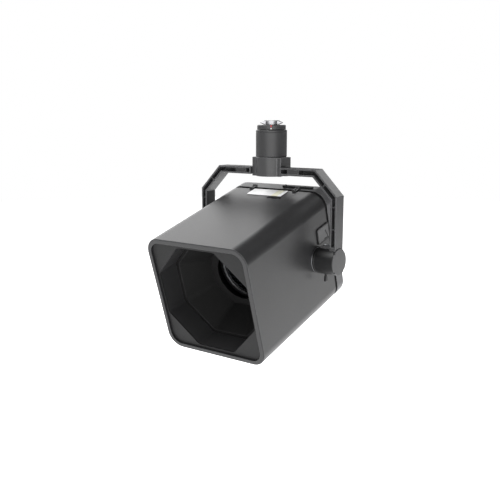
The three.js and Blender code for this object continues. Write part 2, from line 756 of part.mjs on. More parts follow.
function yokeFrame() {
  const outer = yokeLine(0, 0, 0);
  const inner = yokeLine(YOKE_BAR_HEIGHT, YOKE_CHAMFER_THICKNESS, YOKE_ARM_THICKNESS);
  const whole = slab(yokeBand(outer, inner, tiltZ), -yokeRear, -yokeFront);
  const pocketOuter = yokeLine(YOKE_WALL, YOKE_WALL, YOKE_WALL);
  const pocketInner = yokeLine(
    YOKE_BAR_HEIGHT - YOKE_WALL,
    YOKE_CHAMFER_THICKNESS - YOKE_WALL,
    YOKE_ARM_THICKNESS - YOKE_WALL,
  );
  const pocketFloor = footTop;
  const pocketRear = yokeRear - YOKE_WEB;
  const channel = slab(yokeBand(pocketOuter, pocketInner, pocketFloor), -pocketRear, -yokeFront + PAST);
  const centre = block(
    [-YOKE_POCKET_START, YOKE_POCKET_START],
    [yokeFront - 2 * PAST, yokeRear + PAST],
    [barBottom - PAST, barTop + PAST],
  );
  const pockets = cut(channel, centre, ...yokeRibs());
  const besideBlock = BLOCK_HALF_WIDTH + GAP;
  const tongueFrontCut = block(
    [-besideBlock, besideBlock],
    [yokeFront - PAST, -TONGUE_FRONT],
    [barBottom - PAST, barTop + PAST],
  );
  const tongueRearCut = block(
    [-besideBlock, besideBlock],
    [TONGUE_REAR, yokeRear + PAST],
    [barBottom - PAST, barTop + PAST],
  );
  const feet = atBothSides(yokeFoot);
  const drumCuts = atBothSides((side) => drumSpace(side, DRUM_RADIUS + GAP));
  const wireWay = bar("z", barBottom - PAST, barTop + PAST, PAN_SHAFT_BORE, [0, yokeScrewY], TINY);
  const screwHoles = yokeScrewBars(barBottom - PAST, barTop + PAST, YOKE_SCREW_RADIUS + GAP);
  const footHoles = atBothSides((side) =>
    footScrewPlaces(side).map((x) =>
      bar("z", footBottom, footTop + PAST, FOOT_SCREW_RADIUS / 2 + GAP, [x, yokeY], TINY),
    ),
  ).flat();
  return cut(
    join(whole, ...feet),
    pockets,
    tongueFrontCut,
    tongueRearCut,
    ...drumCuts,
    wireWay,
    ...screwHoles,
    ...footHoles,
  );
}

add(spotlight, "yoke_frame", yokeFrame(), paint);

// ---------------------------------------------------------------- tilt pivots

function acrossBar(side, near, far, radius, sides = FINE, centre = [yokeY, tiltZ]) {
  const [from, to] = sideEnds(side, near, far);
  return bar("x", from, to, radius, centre, sides);
}

const bushOuter = TILT_SHAFT_RADIUS + RUNNING_GAP + TILT_BUSH_WALL;
const bearingEnd = drumStart + TILT_BUSH_LENGTH;
const lockX = HEAD_HALF_WIDTH + LOCK_FROM_HEAD;
const lockTop = tiltZ - DRUM_RADIUS + LOCK_BITE;
const footScrewBottom = tiltZ + DRUM_RADIUS - DRUM_WALL / 2;

function tiltDrum(side) {
  const body = acrossBar(side, drumStart, drumEnd, DRUM_RADIUS, ROUND);
  const hollow = acrossBar(side, bearingEnd, drumEnd + PAST, DRUM_RADIUS - DRUM_WALL, ROUND);
  const bore = acrossBar(side, drumStart - PAST, bearingEnd + PAST, bushOuter + GAP);
  const lockHole = bar(
    "z",
    tiltZ - DRUM_RADIUS - PAST,
    lockTop + GAP,
    LOCK_SHANK_RADIUS + RUNNING_GAP,
    [side * lockX, yokeY],
    TINY,
  );
  const holeRadius = FOOT_SCREW_RADIUS / 2 + GAP;
  const footHoles = footScrewPlaces(side).map((x) =>
    bar("z", footScrewBottom - GAP, tiltZ + DRUM_RADIUS + PAST, holeRadius, [x, yokeY], TINY),
  );
  return cut(body, hollow, bore, lockHole, ...footHoles);
}

function tiltCap(side) {
  const disc = acrossBar(side, drumEnd + GAP, capEnd, DRUM_RADIUS, ROUND);
  const spigotEnd = drumEnd - DRUM_WALL;
  const spigot = acrossBar(side, spigotEnd, drumEnd + GAP * 2, DRUM_RADIUS - DRUM_WALL - GAP, ROUND);
  const notches = CAP_NOTCH_DEGREES.map((degrees) => {
    const angle = (degrees * Math.PI) / 180;
    const y = yokeY + DRUM_RADIUS * Math.cos(angle);
    const z = tiltZ + DRUM_RADIUS * Math.sin(angle);
    return acrossBar(side, drumEnd, capEnd + PAST, CAP_NOTCH / 2, TINY, [y, z]);
  });
  return cut(join(disc, spigot), ...notches);
}

function tiltBush(side) {
  const body = acrossBar(side, drumStart, bearingEnd, bushOuter);
  return cut(body, acrossBar(side, drumStart - PAST, bearingEnd + PAST, TILT_SHAFT_RADIUS + RUNNING_GAP));
}

// Two screws on one washer plate.
function footScrews(side) {
  const plateTop = footTop + GAP + FOOT_PLATE_THICKNESS;
  const plateEnds = footScrewPlaces(side).sort((a, b) => a - b);
  const plate = block(
    [plateEnds[0] - FOOT_SCREW_RADIUS, plateEnds[1] + FOOT_SCREW_RADIUS],
    [yokeY - FOOT_SCREW_RADIUS - PAST, yokeY + FOOT_SCREW_RADIUS + PAST],
    [footTop + GAP, plateTop],
  );
  const screws = footScrewPlaces(side).map((x) =>
    join(
      bar("z", footScrewBottom, footTop + GAP, FOOT_SCREW_RADIUS / 2, [x, yokeY], TINY),
      bar("z", footTop + GAP, plateTop + FOOT_SCREW_HEAD, FOOT_SCREW_RADIUS, [x, yokeY], TINY),
    ),
  );
  return join(plate, ...screws);
}

function tiltLock(side) {
  const x = side * lockX;
  const headTop = tiltZ - DRUM_RADIUS - LOCK_STAND_OFF;
  const shank = bar("z", headTop - PAST, lockTop, LOCK_SHANK_RADIUS, [x, yokeY], TINY);
  const wing = block(
    [x - LOCK_HEAD_THICKNESS / 2, x + LOCK_HEAD_THICKNESS / 2],
    [yokeY - LOCK_HEAD_WIDTH / 2, yokeY + LOCK_HEAD_WIDTH / 2],
    [headTop - LOCK_HEAD_LENGTH, headTop],
  );
  return join(shank, wing);
}

// The shafts are made in the head's frame, where the tilt axis is the origin's X line.
function tiltShaft(side) {
  const axis = [0, 0];
  const inside = HEAD_HALF_WIDTH - HEAD_WALL - TILT_SHAFT_INSIDE;
  const outside = bearingEnd + GAP * 2 + TILT_NUT_HEIGHT;
  const shaft = acrossBar(side, inside, outside, TILT_SHAFT_RADIUS, FINE, axis);
  const hub = acrossBar(side, HEAD_HALF_WIDTH + GAP, hubEnd, HUB_RADIUS, ROUND, axis);
  return cut(join(shaft, hub), acrossBar(side, inside - PAST, outside + PAST, TILT_SHAFT_BORE, FINE, axis));
}

function tiltNut(side) {
  const near = bearingEnd + GAP;
  const far = near + TILT_NUT_HEIGHT;
  const body = acrossBar(side, near, far, TILT_NUT_RADIUS, 6, [0, 0]);
  return cut(body, acrossBar(side, near - PAST, far + PAST, TILT_SHAFT_RADIUS + GAP, FINE, [0, 0]));
}

for (const [side, hand] of [[-1, "left"], [1, "right"]]) {
  add(spotlight, `tilt_drum_${hand}`, tiltDrum(side), darkPaint);
  add(spotlight, `tilt_cap_${hand}`, tiltCap(side), paint);
  add(spotlight, `tilt_bush_${hand}`, tiltBush(side), bushPlastic);
  add(spotlight, `foot_screws_${hand}`, footScrews(side), steel);
  add(spotlight, `tilt_lock_${hand}`, tiltLock(side), blackPlastic);
  add(head, `tilt_shaft_${hand}`, tiltShaft(side), steel);
  add(head, `tilt_nut_${hand}`, tiltNut(side), steel);
}

// ---------------------------------------------------------------- housing

// A plate that fills the housing across and up between two stations.
function innerPlate(rear, front) {
  return slab(
    roundedRectangle(innerHalfWidth - GAP, innerHalfHeight - GAP, HEAD_CORNER_RADIUS - HEAD_WALL - GAP),
    rear,
    front,
  );
}

function hingeKnuckle(inner, outer, leafRear, leafFront) {
  return atBothSides((side) => {
    const ends = sideEnds(side, inner, outer);
    const axis = [HEAD_SEAM, -hingeDrop];
    const barrel = bar("x", ends[0], ends[1], HINGE_RADIUS, axis, TINY);
    const leaf = block(ends, [-leafFront, -leafRear], [-hingeDrop, -HEAD_HALF_HEIGHT + HEAD_WALL / 2]);
    const hole = bar("x", ends[0] - PAST, ends[1] + PAST, HINGE_PIN_RADIUS + RUNNING_GAP, axis, TINY);
    return { barrel, leaf, hole };
  });
}

function mainHousing() {
  const shell = cut(
    housingSlab(0, housingRear, housingFront),
    housingSlab(HEAD_WALL, housingRear - PAST, housingFront + PAST),
  );
  const shaftHoles = atBothSides((side) =>
    acrossBar(side, innerHalfWidth - PAST, HEAD_HALF_WIDTH + PAST, TILT_SHAFT_RADIUS + GAP, FINE, [0, 0]),
  );
  const slot = block(
    [FOCUS_ACROSS - FOCUS_SLOT_LENGTH / 2, FOCUS_ACROSS + FOCUS_SLOT_LENGTH / 2],
    [-FOCUS_WHEEL_STATION - FOCUS_SLOT_WIDTH / 2, -FOCUS_WHEEL_STATION + FOCUS_SLOT_WIDTH / 2],
    [innerHalfHeight - PAST, HEAD_HALF_HEIGHT + PAST],
  );
  const wheelRoom = axial(
    FOCUS_WHEEL_STATION - FOCUS_SLOT_WIDTH / 2,
    FOCUS_WHEEL_STATION + FOCUS_SLOT_WIDTH / 2,
    FOCUS_WHEEL_RADIUS + RUNNING_GAP,
    [FOCUS_ACROSS, focusHeight],
    ROUND,
  );
  const knuckles = hingeKnuckle(
    HINGE_ACROSS - HINGE_KNUCKLE,
    HINGE_ACROSS - RUNNING_GAP,
    -HEAD_SEAM + HINGE_LEAF_START,
    -HEAD_SEAM + HINGE_LEAF_LENGTH,
  );
  const body = join(shell, ...knuckles.flatMap((knuckle) => [knuckle.barrel, knuckle.leaf]));
  return cut(body, ...shaftHoles, slot, wheelRoom, ...knuckles.map((knuckle) => knuckle.hole));
}

function hingePin(side) {
  const ends = sideEnds(side, HINGE_ACROSS - HINGE_KNUCKLE, HINGE_ACROSS + HINGE_KNUCKLE);
  return bar("x", ends[0], ends[1], HINGE_PIN_RADIUS, [HEAD_SEAM, -hingeDrop], TINY);
}

function rearGasket() {
  const rear = -HEAD_SEAM - GASKET_THICKNESS / 2;
  const front = rear + GASKET_THICKNESS;
  return cut(
    housingSlab(GASKET_INSET, rear, front),
    housingSlab(HEAD_WALL, rear - PAST, front + PAST),
  );
}

function frontBezel() {
  const lip = slab(
    roundedRectangle(
      frontHalfWidth - BEZEL_INSET,
      frontHalfHeight - BEZEL_INSET,
      HEAD_CORNER_RADIUS - BEZEL_INSET,
    ),
    housingFront + GAP,
    HEAD_FRONT,
  );
  const inner = innerPlate(maskFront + GAP, housingFront + 2 * GAP);
  const aperture = slab(
    roundedRectangle(
      frontHalfWidth - BEZEL_FACE_WIDTH,
      frontHalfHeight - BEZEL_FACE_WIDTH,
      HEAD_CORNER_RADIUS - BEZEL_FACE_WIDTH,
    ),
    maskFront - PAST,
    HEAD_FRONT + PAST,
  );
  return cut(join(lip, inner), aperture);
}

function cornerMask() {
  const opening = octagon(maskRear - PAST, maskFront + PAST, baffleApothem, baffleApothem);
  return cut(innerPlate(maskRear, maskFront), opening);
}

function baffleTube() {
  const front = maskRear - GAP;
  const rear = BAFFLE_LEDGE_STATION + GAP;
  const outside = baffleApothem + BAFFLE_WALL;
  return cut(
    octagon(rear, front, outside, outside),
    octagon(rear - PAST, front + PAST, baffleApothem, baffleApothem),
  );
}

function baffleFunnel() {
  const rear = FUNNEL_REAR_STATION;
  const front = BAFFLE_LEDGE_STATION;
  const slope = (funnelMouthApothem - FUNNEL_THROAT_APOTHEM) / (front - rear);
  const cone = octagon(rear, front, FUNNEL_THROAT_APOTHEM + BAFFLE_WALL, funnelMouthApothem + BAFFLE_WALL);
  const flangeApothem = baffleApothem + BAFFLE_WALL;
  const flange = octagon(front - FUNNEL_FLANGE, front, flangeApothem, flangeApothem);
  const hollow = octagon(
    rear - PAST,
    front + PAST,
    FUNNEL_THROAT_APOTHEM - slope * PAST,
    funnelMouthApothem + slope * PAST,
  );
  return cut(join(cone, flange), hollow);
}

function sidePlate(side) {
  return block(
    sideEnds(side, HEAD_HALF_WIDTH + GAP, HEAD_HALF_WIDTH + GAP + SIDE_PLATE_THICKNESS),
    [-SIDE_PLATE_FRONT, -housingRear - GAP],
    [SIDE_PLATE_BOTTOM, SIDE_PLATE_TOP],
  );
}

function roofLabel() {
  return block(
    [LABEL_ACROSS - LABEL_WIDTH / 2, LABEL_ACROSS + LABEL_WIDTH / 2],
    [-LABEL_STATION - LABEL_LENGTH / 2, -LABEL_STATION + LABEL_LENGTH / 2],
    [HEAD_HALF_HEIGHT + GAP, HEAD_HALF_HEIGHT + GAP + LABEL_THICKNESS],
  );
}

add(head, "main_housing", mainHousing(), paint);
add(head, "hinge_pin_left", hingePin(-1), steel);
add(head, "hinge_pin_right", hingePin(1), steel);
add(head, "rear_gasket", rearGasket(), rubber);
add(head, "front_bezel", frontBezel(), paint);
add(head, "corner_mask", cornerMask(), darkPaint);
add(head, "baffle_tube", baffleTube(), darkPaint);
add(head, "baffle_funnel", baffleFunnel(), darkPaint);
add(head, "side_plate_left", sidePlate(-1), paint);
add(head, "side_plate_right", sidePlate(1), paint);
add(head, "roof_label", roofLabel(), whitePlastic);

// ---------------------------------------------------------------- optics

const bulkheadFront = FUNNEL_REAR_STATION - GAP;
const bulkheadRear = bulkheadFront - BULKHEAD_THICKNESS;
const carriageRear = CARRIAGE_STATION - CARRIAGE_THICKNESS / 2;
const carriageFront = carriageRear + CARRIAGE_THICKNESS;
const lensRear = carriageRear + CARRIAGE_LIP + GAP;
const lensEdgeFront = lensRear + LENS_EDGE;
const focusCentre = [FOCUS_ACROSS, focusHeight];
const guideCentre = [0, -guideRodDrop];

function opticsBulkhead() {
  const past = [bulkheadRear - PAST, bulkheadFront + PAST];
  return cut(
    innerPlate(bulkheadRear, bulkheadFront),
    axial(past[0], past[1], lensWindowRadius, [0, 0], ROUND),
    axial(past[0], past[1], FOCUS_SCREW_RADIUS + RUNNING_GAP, focusCentre, TINY),
    axial(past[0], past[1], GUIDE_ROD_RADIUS + GAP, guideCentre, TINY),
  );
}

// The plate across the housing that holds the gate, with four posts behind it for the heat sink.
function gatePlate() {
  const past = [gateRear - PAST, GATE_STATION + PAST];
  const lowPart = block(
    [-HEAD_HALF_WIDTH, HEAD_HALF_WIDTH],
    [-past[1], -past[0]],
    [-HEAD_HALF_HEIGHT, -guideRodDrop - GATE_BELOW_GUIDE],
  );
  const notches = atBothSides((side) =>
    block(
      sideEnds(side, innerHalfWidth - GATE_NOTCH_DEPTH, HEAD_HALF_WIDTH),
      [-past[1], -past[0]],
      [-GATE_NOTCH_HALF_HEIGHT, GATE_NOTCH_HALF_HEIGHT],
    ),
  );
  const posts = [-STANDOFF_ACROSS, STANDOFF_ACROSS].flatMap((x) =>
    [-STANDOFF_ACROSS, STANDOFF_ACROSS].map((z) =>
      axial(sinkFront + GAP, GATE_STATION, STANDOFF_RADIUS, [x, z], 6),
    ),
  );
  return cut(
    join(innerPlate(gateRear, GATE_STATION), ...posts),
    lowPart,
    ...notches,
    axial(past[0], past[1], GATE_APERTURE_RADIUS, [0, 0], ROUND),
    axial(past[0], past[1], FOCUS_SCREW_RADIUS + RUNNING_GAP, focusCentre, TINY),
    axial(past[0], past[1], GUIDE_ROD_RADIUS + GAP, guideCentre, TINY),
  );
}

function guideRod() {
  return axial(gateRear, bulkheadFront, GUIDE_ROD_RADIUS, guideCentre, TINY);
}

function focusScrew() {
  const rear = FOCUS_WHEEL_STATION - FOCUS_WHEEL_WIDTH;
  return axial(rear, bulkheadFront, FOCUS_SCREW_RADIUS, focusCentre, TINY);
}

function focusWheel() {
  const half = FOCUS_WHEEL_WIDTH / 2;
  const rear = FOCUS_WHEEL_STATION - half;
  const front = FOCUS_WHEEL_STATION + half;
  const body = axial(rear, front, FOCUS_WHEEL_RADIUS, focusCentre, ROUND);
  return cut(body, axial(rear - PAST, front + PAST, FOCUS_SCREW_RADIUS + GAP, focusCentre, TINY));
}

function lensCarriage() {
  const ring = axial(carriageRear, carriageFront, carriageRadius, [0, 0], ROUND);
  const focusBoss = axial(carriageRear, carriageFront, CARRIAGE_BOSS_RADIUS, focusCentre);
  const guideBoss = axial(carriageRear, carriageFront, CARRIAGE_BOSS_RADIUS, guideCentre);
  const focusArm = block(
    [FOCUS_ACROSS - CARRIAGE_BOSS_RADIUS, FOCUS_ACROSS + CARRIAGE_BOSS_RADIUS],
    [-carriageFront, -carriageRear],
    [CARRIAGE_ARM_START, focusHeight],
  );
  const guideArm = block(
    [-CARRIAGE_BOSS_RADIUS, CARRIAGE_BOSS_RADIUS],
    [-carriageFront, -carriageRear],
    [-guideRodDrop, -lensWindowRadius],
  );
  const past = [carriageRear - PAST, carriageFront + PAST];
  return cut(
    join(ring, focusBoss, guideBoss, focusArm, guideArm),
    axial(past[0], past[1], LENS_RADIUS - LENS_SEAT_WIDTH, [0, 0], ROUND),
    axial(carriageRear + CARRIAGE_LIP, past[1], LENS_RADIUS + GAP, [0, 0], ROUND),
    axial(past[0], past[1], FOCUS_SCREW_RADIUS + RUNNING_GAP, focusCentre, TINY),
    axial(past[0], past[1], GUIDE_ROD_RADIUS + RUNNING_GAP, guideCentre, TINY),
  );
}

// A plano-convex lens, flat at the rear.
function frontLens() {
  const clear = LENS_RADIUS - LENS_SEAT_WIDTH;
  const points = [[0, lensRear], [LENS_RADIUS, lensRear], [LENS_RADIUS, lensEdgeFront]];
  const sphere = (clear ** 2 + LENS_CROWN ** 2) / (2 * LENS_CROWN);
  const steps = 4;
  for (let i = steps; i > 0; i -= 1) {
    const radius = (clear * i) / steps;
    const drop = sphere - Math.sqrt(sphere ** 2 - radius ** 2);
    points.push([radius, lensEdgeFront + LENS_CROWN - drop]);
  }
  points.push([0, lensEdgeFront + LENS_CROWN]);
  return turnedAbout(turned(points), "x", 90);
}

function lensRing() {
  const rear = lensEdgeFront + GAP;
  const front = carriageFront;
  return cut(
    axial(rear, front, LENS_RADIUS, [0, 0], ROUND),
    axial(rear - PAST, front + PAST, LENS_RADIUS - LENS_SEAT_WIDTH + GAP, [0, 0], ROUND),
  );
}

// A thin shell whose inside follows half an ellipse from the throat to the mouth.
function reflector() {
  const inside = [];
  const steps = 5;
  for (let i = 0; i <= steps; i += 1) {
    const along = i / steps;
    const swell = Math.sqrt(1 - (1 - along) ** 2);
    const radius = REFLECTOR_THROAT_RADIUS + (REFLECTOR_MOUTH_RADIUS - REFLECTOR_THROAT_RADIUS) * swell;
    inside.push([radius, reflectorFront - REFLECTOR_LENGTH * (1 - along)]);
  }
  const outside = inside.map(([radius, station]) => [radius + REFLECTOR_WALL, station]).reverse();
  const profile = [...inside, ...outside].reverse();
  profile.push(profile[0]);
  return turnedAbout(turned(profile), "x", 90);
}

function ledModule() {
  const board = axial(ledFront - LED_THICKNESS, ledFront, LED_RADIUS, [0, 0], FINE);
  const emitter = axial(ledFront - GAP, ledFront + EMITTER_HEIGHT, EMITTER_RADIUS, [0, 0], FINE);
  return join(board, emitter);
}

function heatSink() {
  const half = SINK_HALF_WIDTH;
  const base = block([-half, half], [-sinkFront, -finFront], [-half, half]);
  const fins = [];
  const pitch = (2 * half - SINK_FIN_THICKNESS) / (SINK_FIN_COUNT - 1);
  for (let i = 0; i < SINK_FIN_COUNT; i += 1) {
    const left = -half + pitch * i;
    fins.push(block([left, left + SINK_FIN_THICKNESS], [-finFront - PAST, -finRear], [-half, half]));
  }
  return join(base, ...fins);
}

// ---------------------------------------------------------------- fan and driver

function fanFrame() {
  const half = FAN_RADIUS + RUNNING_GAP * 2 + FAN_FRAME_WALL;
  const opening = FAN_RADIUS + RUNNING_GAP * 2;
  const ring = cut(
    slab(roundedRectangle(half, half, FAN_FRAME_WALL * 2), fanRear, fanFront, 2),
    axial(fanRear - PAST, fanFront + PAST, opening, [0, 0], ROUND),
  );
  const strut = FAN_FRAME_WALL / 2;
  const rearFace = [-fanRear - FAN_FRAME_WALL, -fanRear];
  const struts = [
    block([-opening - PAST, opening + PAST], rearFace, [-strut, strut]),
    block([-strut, strut], rearFace, [-opening - PAST, opening + PAST]),
  ];
  return join(ring, ...struts, axial(fanRear, fanRear + FAN_FRAME_WALL, FAN_HUB_RADIUS));
}

function fanRotor() {
  const rear = fanRear + FAN_FRAME_WALL + RUNNING_GAP;
  const hub = axial(rear, fanFront, FAN_HUB_RADIUS);
  const blades = [];
  const middle = (rear + fanFront) / 2;
  const halfChord = ((fanFront - rear) * FAN_BLADE_CHORD) / 2;
  const halfThickness = FAN_BLADE_THICKNESS / 2;
  const span = [FAN_HUB_RADIUS - FAN_BLADE_ROOT, FAN_RADIUS - 1];
  for (let i = 0; i < FAN_BLADE_COUNT; i += 1) {
    const blade = geometryOf(block(span, [-halfChord, halfChord], [-halfThickness, halfThickness]));
    blade.rotateX((FAN_BLADE_DEGREES * Math.PI) / 180);
    blade.translate(0, -middle, 0);
    blade.rotateY((2 * Math.PI * i) / FAN_BLADE_COUNT);
    blades.push(solid(blade));
  }
  return join(hub, ...blades);
}

function driverBox() {
  const floor = -innerHalfHeight + GAP;
  return block(
    [-DRIVER_WIDTH / 2, DRIVER_WIDTH / 2],
    [-DRIVER_FRONT, DRIVER_LENGTH - DRIVER_FRONT],
    [floor, -guideRodDrop - DRIVER_BELOW_GUIDE],
  );
}

add(head, "optics_bulkhead", opticsBulkhead(), darkPaint);
add(head, "gate_plate", gatePlate(), aluminium);
add(head, "guide_rod", guideRod(), steel);
add(head, "focus_screw", focusScrew(), brass);
add(head, "focus_wheel", focusWheel(), blackPlastic);
add(head, "lens_carriage", lensCarriage(), blackPlastic);
add(head, "front_lens", frontLens(), glass);
add(head, "lens_ring", lensRing(), aluminium);
add(head, "reflector", reflector(), chrome);
add(head, "led_module", ledModule(), whitePlastic);
add(head, "heat_sink", heatSink(), aluminium);
add(head, "fan_frame", fanFrame(), blackPlastic);
add(head, "fan_rotor", fanRotor(), blackPlastic);
add(head, "driver_box", driverBox(), aluminium);

// ---------------------------------------------------------------- rear cover

const coverRimRear = coverFront - COVER_RIM_DEPTH;
const coverRear = coverFront - COVER_DEPTH;

function coverSolid(inset, rear, rimRear, front) {
  const rim = slab(
    roundedRectangle(HEAD_HALF_WIDTH - inset, HEAD_HALF_HEIGHT - inset, HEAD_CORNER_RADIUS - inset),
    rimRear,
    front,
  );
  const rearScale = 1 - COVER_BEVEL / HEAD_HALF_WIDTH;
  const bevel = taperedSlab(
    HEAD_HALF_WIDTH - inset,
    HEAD_HALF_HEIGHT - inset,
    HEAD_CORNER_RADIUS - inset,
    rear,
    rimRear,
    rearScale,
    1,
  );
  return join(rim, bevel);
}

function rearCover() {
  const shell = cut(
    coverSolid(0, coverRear, coverRimRear, coverFront),
    coverSolid(COVER_WALL, coverRear + COVER_WALL, coverRimRear, coverFront + PAST),
  );
  const vents = [];
  for (let i = 0; i < COVER_VENT_COUNT; i += 1) {
    const z = (i - (COVER_VENT_COUNT - 1) / 2) * COVER_VENT_PITCH;
    vents.push(
      block(
        [-COVER_VENT_LENGTH / 2, COVER_VENT_LENGTH / 2],
        [-coverRear - COVER_WALL - PAST, -coverRear + PAST],
        [z - COVER_VENT_WIDTH / 2, z + COVER_VENT_WIDTH / 2],
      ),
    );
  }
  const knuckles = hingeKnuckle(
    HINGE_ACROSS + RUNNING_GAP,
    HINGE_ACROSS + HINGE_KNUCKLE,
    -HEAD_SEAM - HINGE_LEAF_LENGTH,
    -HEAD_SEAM - HINGE_LEAF_START,
  );
  const body = join(shell, ...knuckles.flatMap((knuckle) => [knuckle.barrel, knuckle.leaf]));
  return cut(body, ...vents, ...knuckles.map((knuckle) => knuckle.hole));
}

const roofLevel = HEAD_HALF_HEIGHT + GAP;

function coverClip(side) {
  const x = [side * CLIP_ACROSS - CLIP_WIDTH / 2, side * CLIP_ACROSS + CLIP_WIDTH / 2];
  const front = HEAD_SEAM - CLIP_FORWARD;
  const rear = HEAD_SEAM + CLIP_REARWARD;
  const tongue = block(x, [front, rear], [roofLevel, roofLevel + CLIP_THICKNESS]);
  const finger = block(x, [front, front + CLIP_THICKNESS], [roofLevel, roofLevel + 2 * CLIP_THICKNESS]);
  const barrel = bar("x", x[0], x[1], CLIP_THICKNESS, [rear, roofLevel + CLIP_THICKNESS], TINY);
  return join(tongue, finger, barrel);
}

function latchLever() {
  const y = HEAD_SEAM + LATCH_BEHIND_SEAM;
  const z = [roofLevel, roofLevel + LATCH_THICKNESS];
  const knob = bar("z", z[0], z[1] + LATCH_HEAD_PROUD, LATCH_HEAD_RADIUS, [LATCH_PIVOT_ACROSS, y]);
  const arm = block(
    [LATCH_PIVOT_ACROSS, LATCH_PIVOT_ACROSS + LATCH_LENGTH],
    [y - LATCH_WIDTH / 2, y + LATCH_WIDTH / 2],
    z,
  );
  return join(knob, arm);
}

add(head, "rear_cover", rearCover(), paint);
add(head, "cover_clip_left", coverClip(-1), blackPlastic);
add(head, "cover_clip_right", coverClip(1), blackPlastic);
add(head, "latch_lever", latchLever(), blackPlastic);

export default spotlight;
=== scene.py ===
"""Looks for a square-hooded ellipsoidal spotlight that hangs by a quick-lock stud.

Sizes in the classes are millimetres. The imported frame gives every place, and each finished mesh is written in
metres in the frame's own axes.
"""

import json
import logging
import math
from collections.abc import Callable, Iterable, Sequence
from dataclasses import dataclass
from enum import Enum
from typing import ClassVar

import bmesh
import bpy
from mathutils import Matrix, Vector

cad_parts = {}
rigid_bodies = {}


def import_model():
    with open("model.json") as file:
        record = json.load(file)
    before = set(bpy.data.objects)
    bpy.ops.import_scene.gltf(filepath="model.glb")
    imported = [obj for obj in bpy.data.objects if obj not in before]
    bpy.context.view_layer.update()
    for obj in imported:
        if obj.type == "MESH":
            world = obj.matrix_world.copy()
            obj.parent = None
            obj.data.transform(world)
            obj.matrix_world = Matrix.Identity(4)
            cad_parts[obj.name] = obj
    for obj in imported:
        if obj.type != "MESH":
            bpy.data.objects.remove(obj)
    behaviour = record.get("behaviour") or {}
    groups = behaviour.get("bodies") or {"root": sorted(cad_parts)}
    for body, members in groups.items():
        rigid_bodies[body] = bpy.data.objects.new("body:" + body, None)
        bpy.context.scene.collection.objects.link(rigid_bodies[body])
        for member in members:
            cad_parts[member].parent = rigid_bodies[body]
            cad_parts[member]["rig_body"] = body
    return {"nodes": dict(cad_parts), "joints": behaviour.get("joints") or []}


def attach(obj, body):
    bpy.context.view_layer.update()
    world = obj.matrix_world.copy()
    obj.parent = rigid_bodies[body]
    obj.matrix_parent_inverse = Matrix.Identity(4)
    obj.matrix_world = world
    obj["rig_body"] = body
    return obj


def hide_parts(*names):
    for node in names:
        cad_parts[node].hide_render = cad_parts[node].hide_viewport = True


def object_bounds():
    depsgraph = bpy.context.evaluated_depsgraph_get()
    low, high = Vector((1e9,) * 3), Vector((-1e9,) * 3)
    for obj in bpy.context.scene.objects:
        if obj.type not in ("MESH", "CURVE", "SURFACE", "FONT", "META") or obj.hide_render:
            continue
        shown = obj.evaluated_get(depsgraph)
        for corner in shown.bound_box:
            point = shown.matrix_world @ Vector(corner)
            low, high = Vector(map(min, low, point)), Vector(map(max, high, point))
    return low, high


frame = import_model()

Tree = bpy.types.NodeTree
Socket = bpy.types.NodeSocket
Material = bpy.types.Material
BMesh = bmesh.types.BMesh
Edge = bmesh.types.BMEdge
Vert = bmesh.types.BMVert
Colour = tuple[float, float, float, float]

MM = 0.001
SOFT = 0.3  # the usual small chamfer of a turned part
CAD_BOX = [list(corner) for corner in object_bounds()]

log = logging.getLogger("spotlight")


class Side(Enum):
    """The light's own left and right, seen from its front."""

    LEFT = -1
    RIGHT = 1

    @property
    def word(self) -> str:
        """The side's name as the frame's nodes spell it."""
        return self.name.lower()


# --- colour and nodes


def srgb(code: str, shade: float = 1.0, lift: float = 0.0) -> Colour:
    """Turns an sRGB hex colour into linear light.

    Args:
        code: Six hex digits, such as "2a2b2d".
        shade: What the linear colour is multiplied by.
        lift: What is added to it after that.

    Returns:
        Linear red, green, blue and alpha.
    """
    channels = [int(code[i : i + 2], 16) / 255 for i in (0, 2, 4)]
    linear = [c / 12.92 if c <= 0.04045 else ((c + 0.055) / 1.055) ** 2.4 for c in channels]
    red, green, blue = (min(1.0, c * shade + lift) for c in linear)
    return red, green, blue, 1.0


def feed(tree: Tree, node: bpy.types.Node, inputs: dict[str | int, object]) -> None:
    """Sets a node's inputs.

    Args:
        tree: The material's node tree.
        node: The node.
        inputs: For an input's name or place, its value or the socket to link to it.
    """
    for name, value in inputs.items():
        if isinstance(value, Socket):
            tree.links.new(value, node.inputs[name])
        else:
            node.inputs[name].default_value = value


def add_node(tree: Tree, kind: str, inputs: dict[str | int, object], **settings: object) -> bpy.types.Node:
    """Adds one shader node.

    Args:
        tree: The material's node tree.
        kind: The node's type, without the "ShaderNode" in front.
        inputs: Values or sockets for its inputs.
        settings: Properties of the node itself.

    Returns:
        The new node.
    """
    made = tree.nodes.new("ShaderNode" + kind)
    for name, value in settings.items():
        setattr(made, name, value)
    feed(tree, made, inputs)
    return made


def noise_at(tree: Tree, grain_mm: float, detail: float = 2.0) -> Socket:
    """A noise pattern whose blotches are about grain_mm across.

    Args:
        tree: The material's node tree.
        grain_mm: The size of one blotch.
        detail: The noise's detail.

    Returns:
        The noise's factor socket.
    """
    place = add_node(tree, "TexCoord", {}).outputs["Object"]
    inputs = {"Scale": 1.0 / (grain_mm * MM), "Detail": detail, "Roughness": 0.55, "Vector": place}
    return add_node(tree, "TexNoise", inputs).outputs["Fac"]


def spread(tree: Tree, pattern: Socket, low: float = 0.0, high: float = 1.0) -> Socket:
    """Stretches a pattern's middle range to run from low to high.

    Args:
        tree: The material's node tree.
        pattern: The pattern, around one half.
        low: The value where the pattern is dark.
        high: The value where it is bright.

    Returns:
        The stretched value's socket.
    """
    inputs = {"From Min": 0.3, "From Max": 0.7, "To Min": low, "To Max": high, "Value": pattern}
    return add_node(tree, "MapRange", inputs).outputs["Result"]


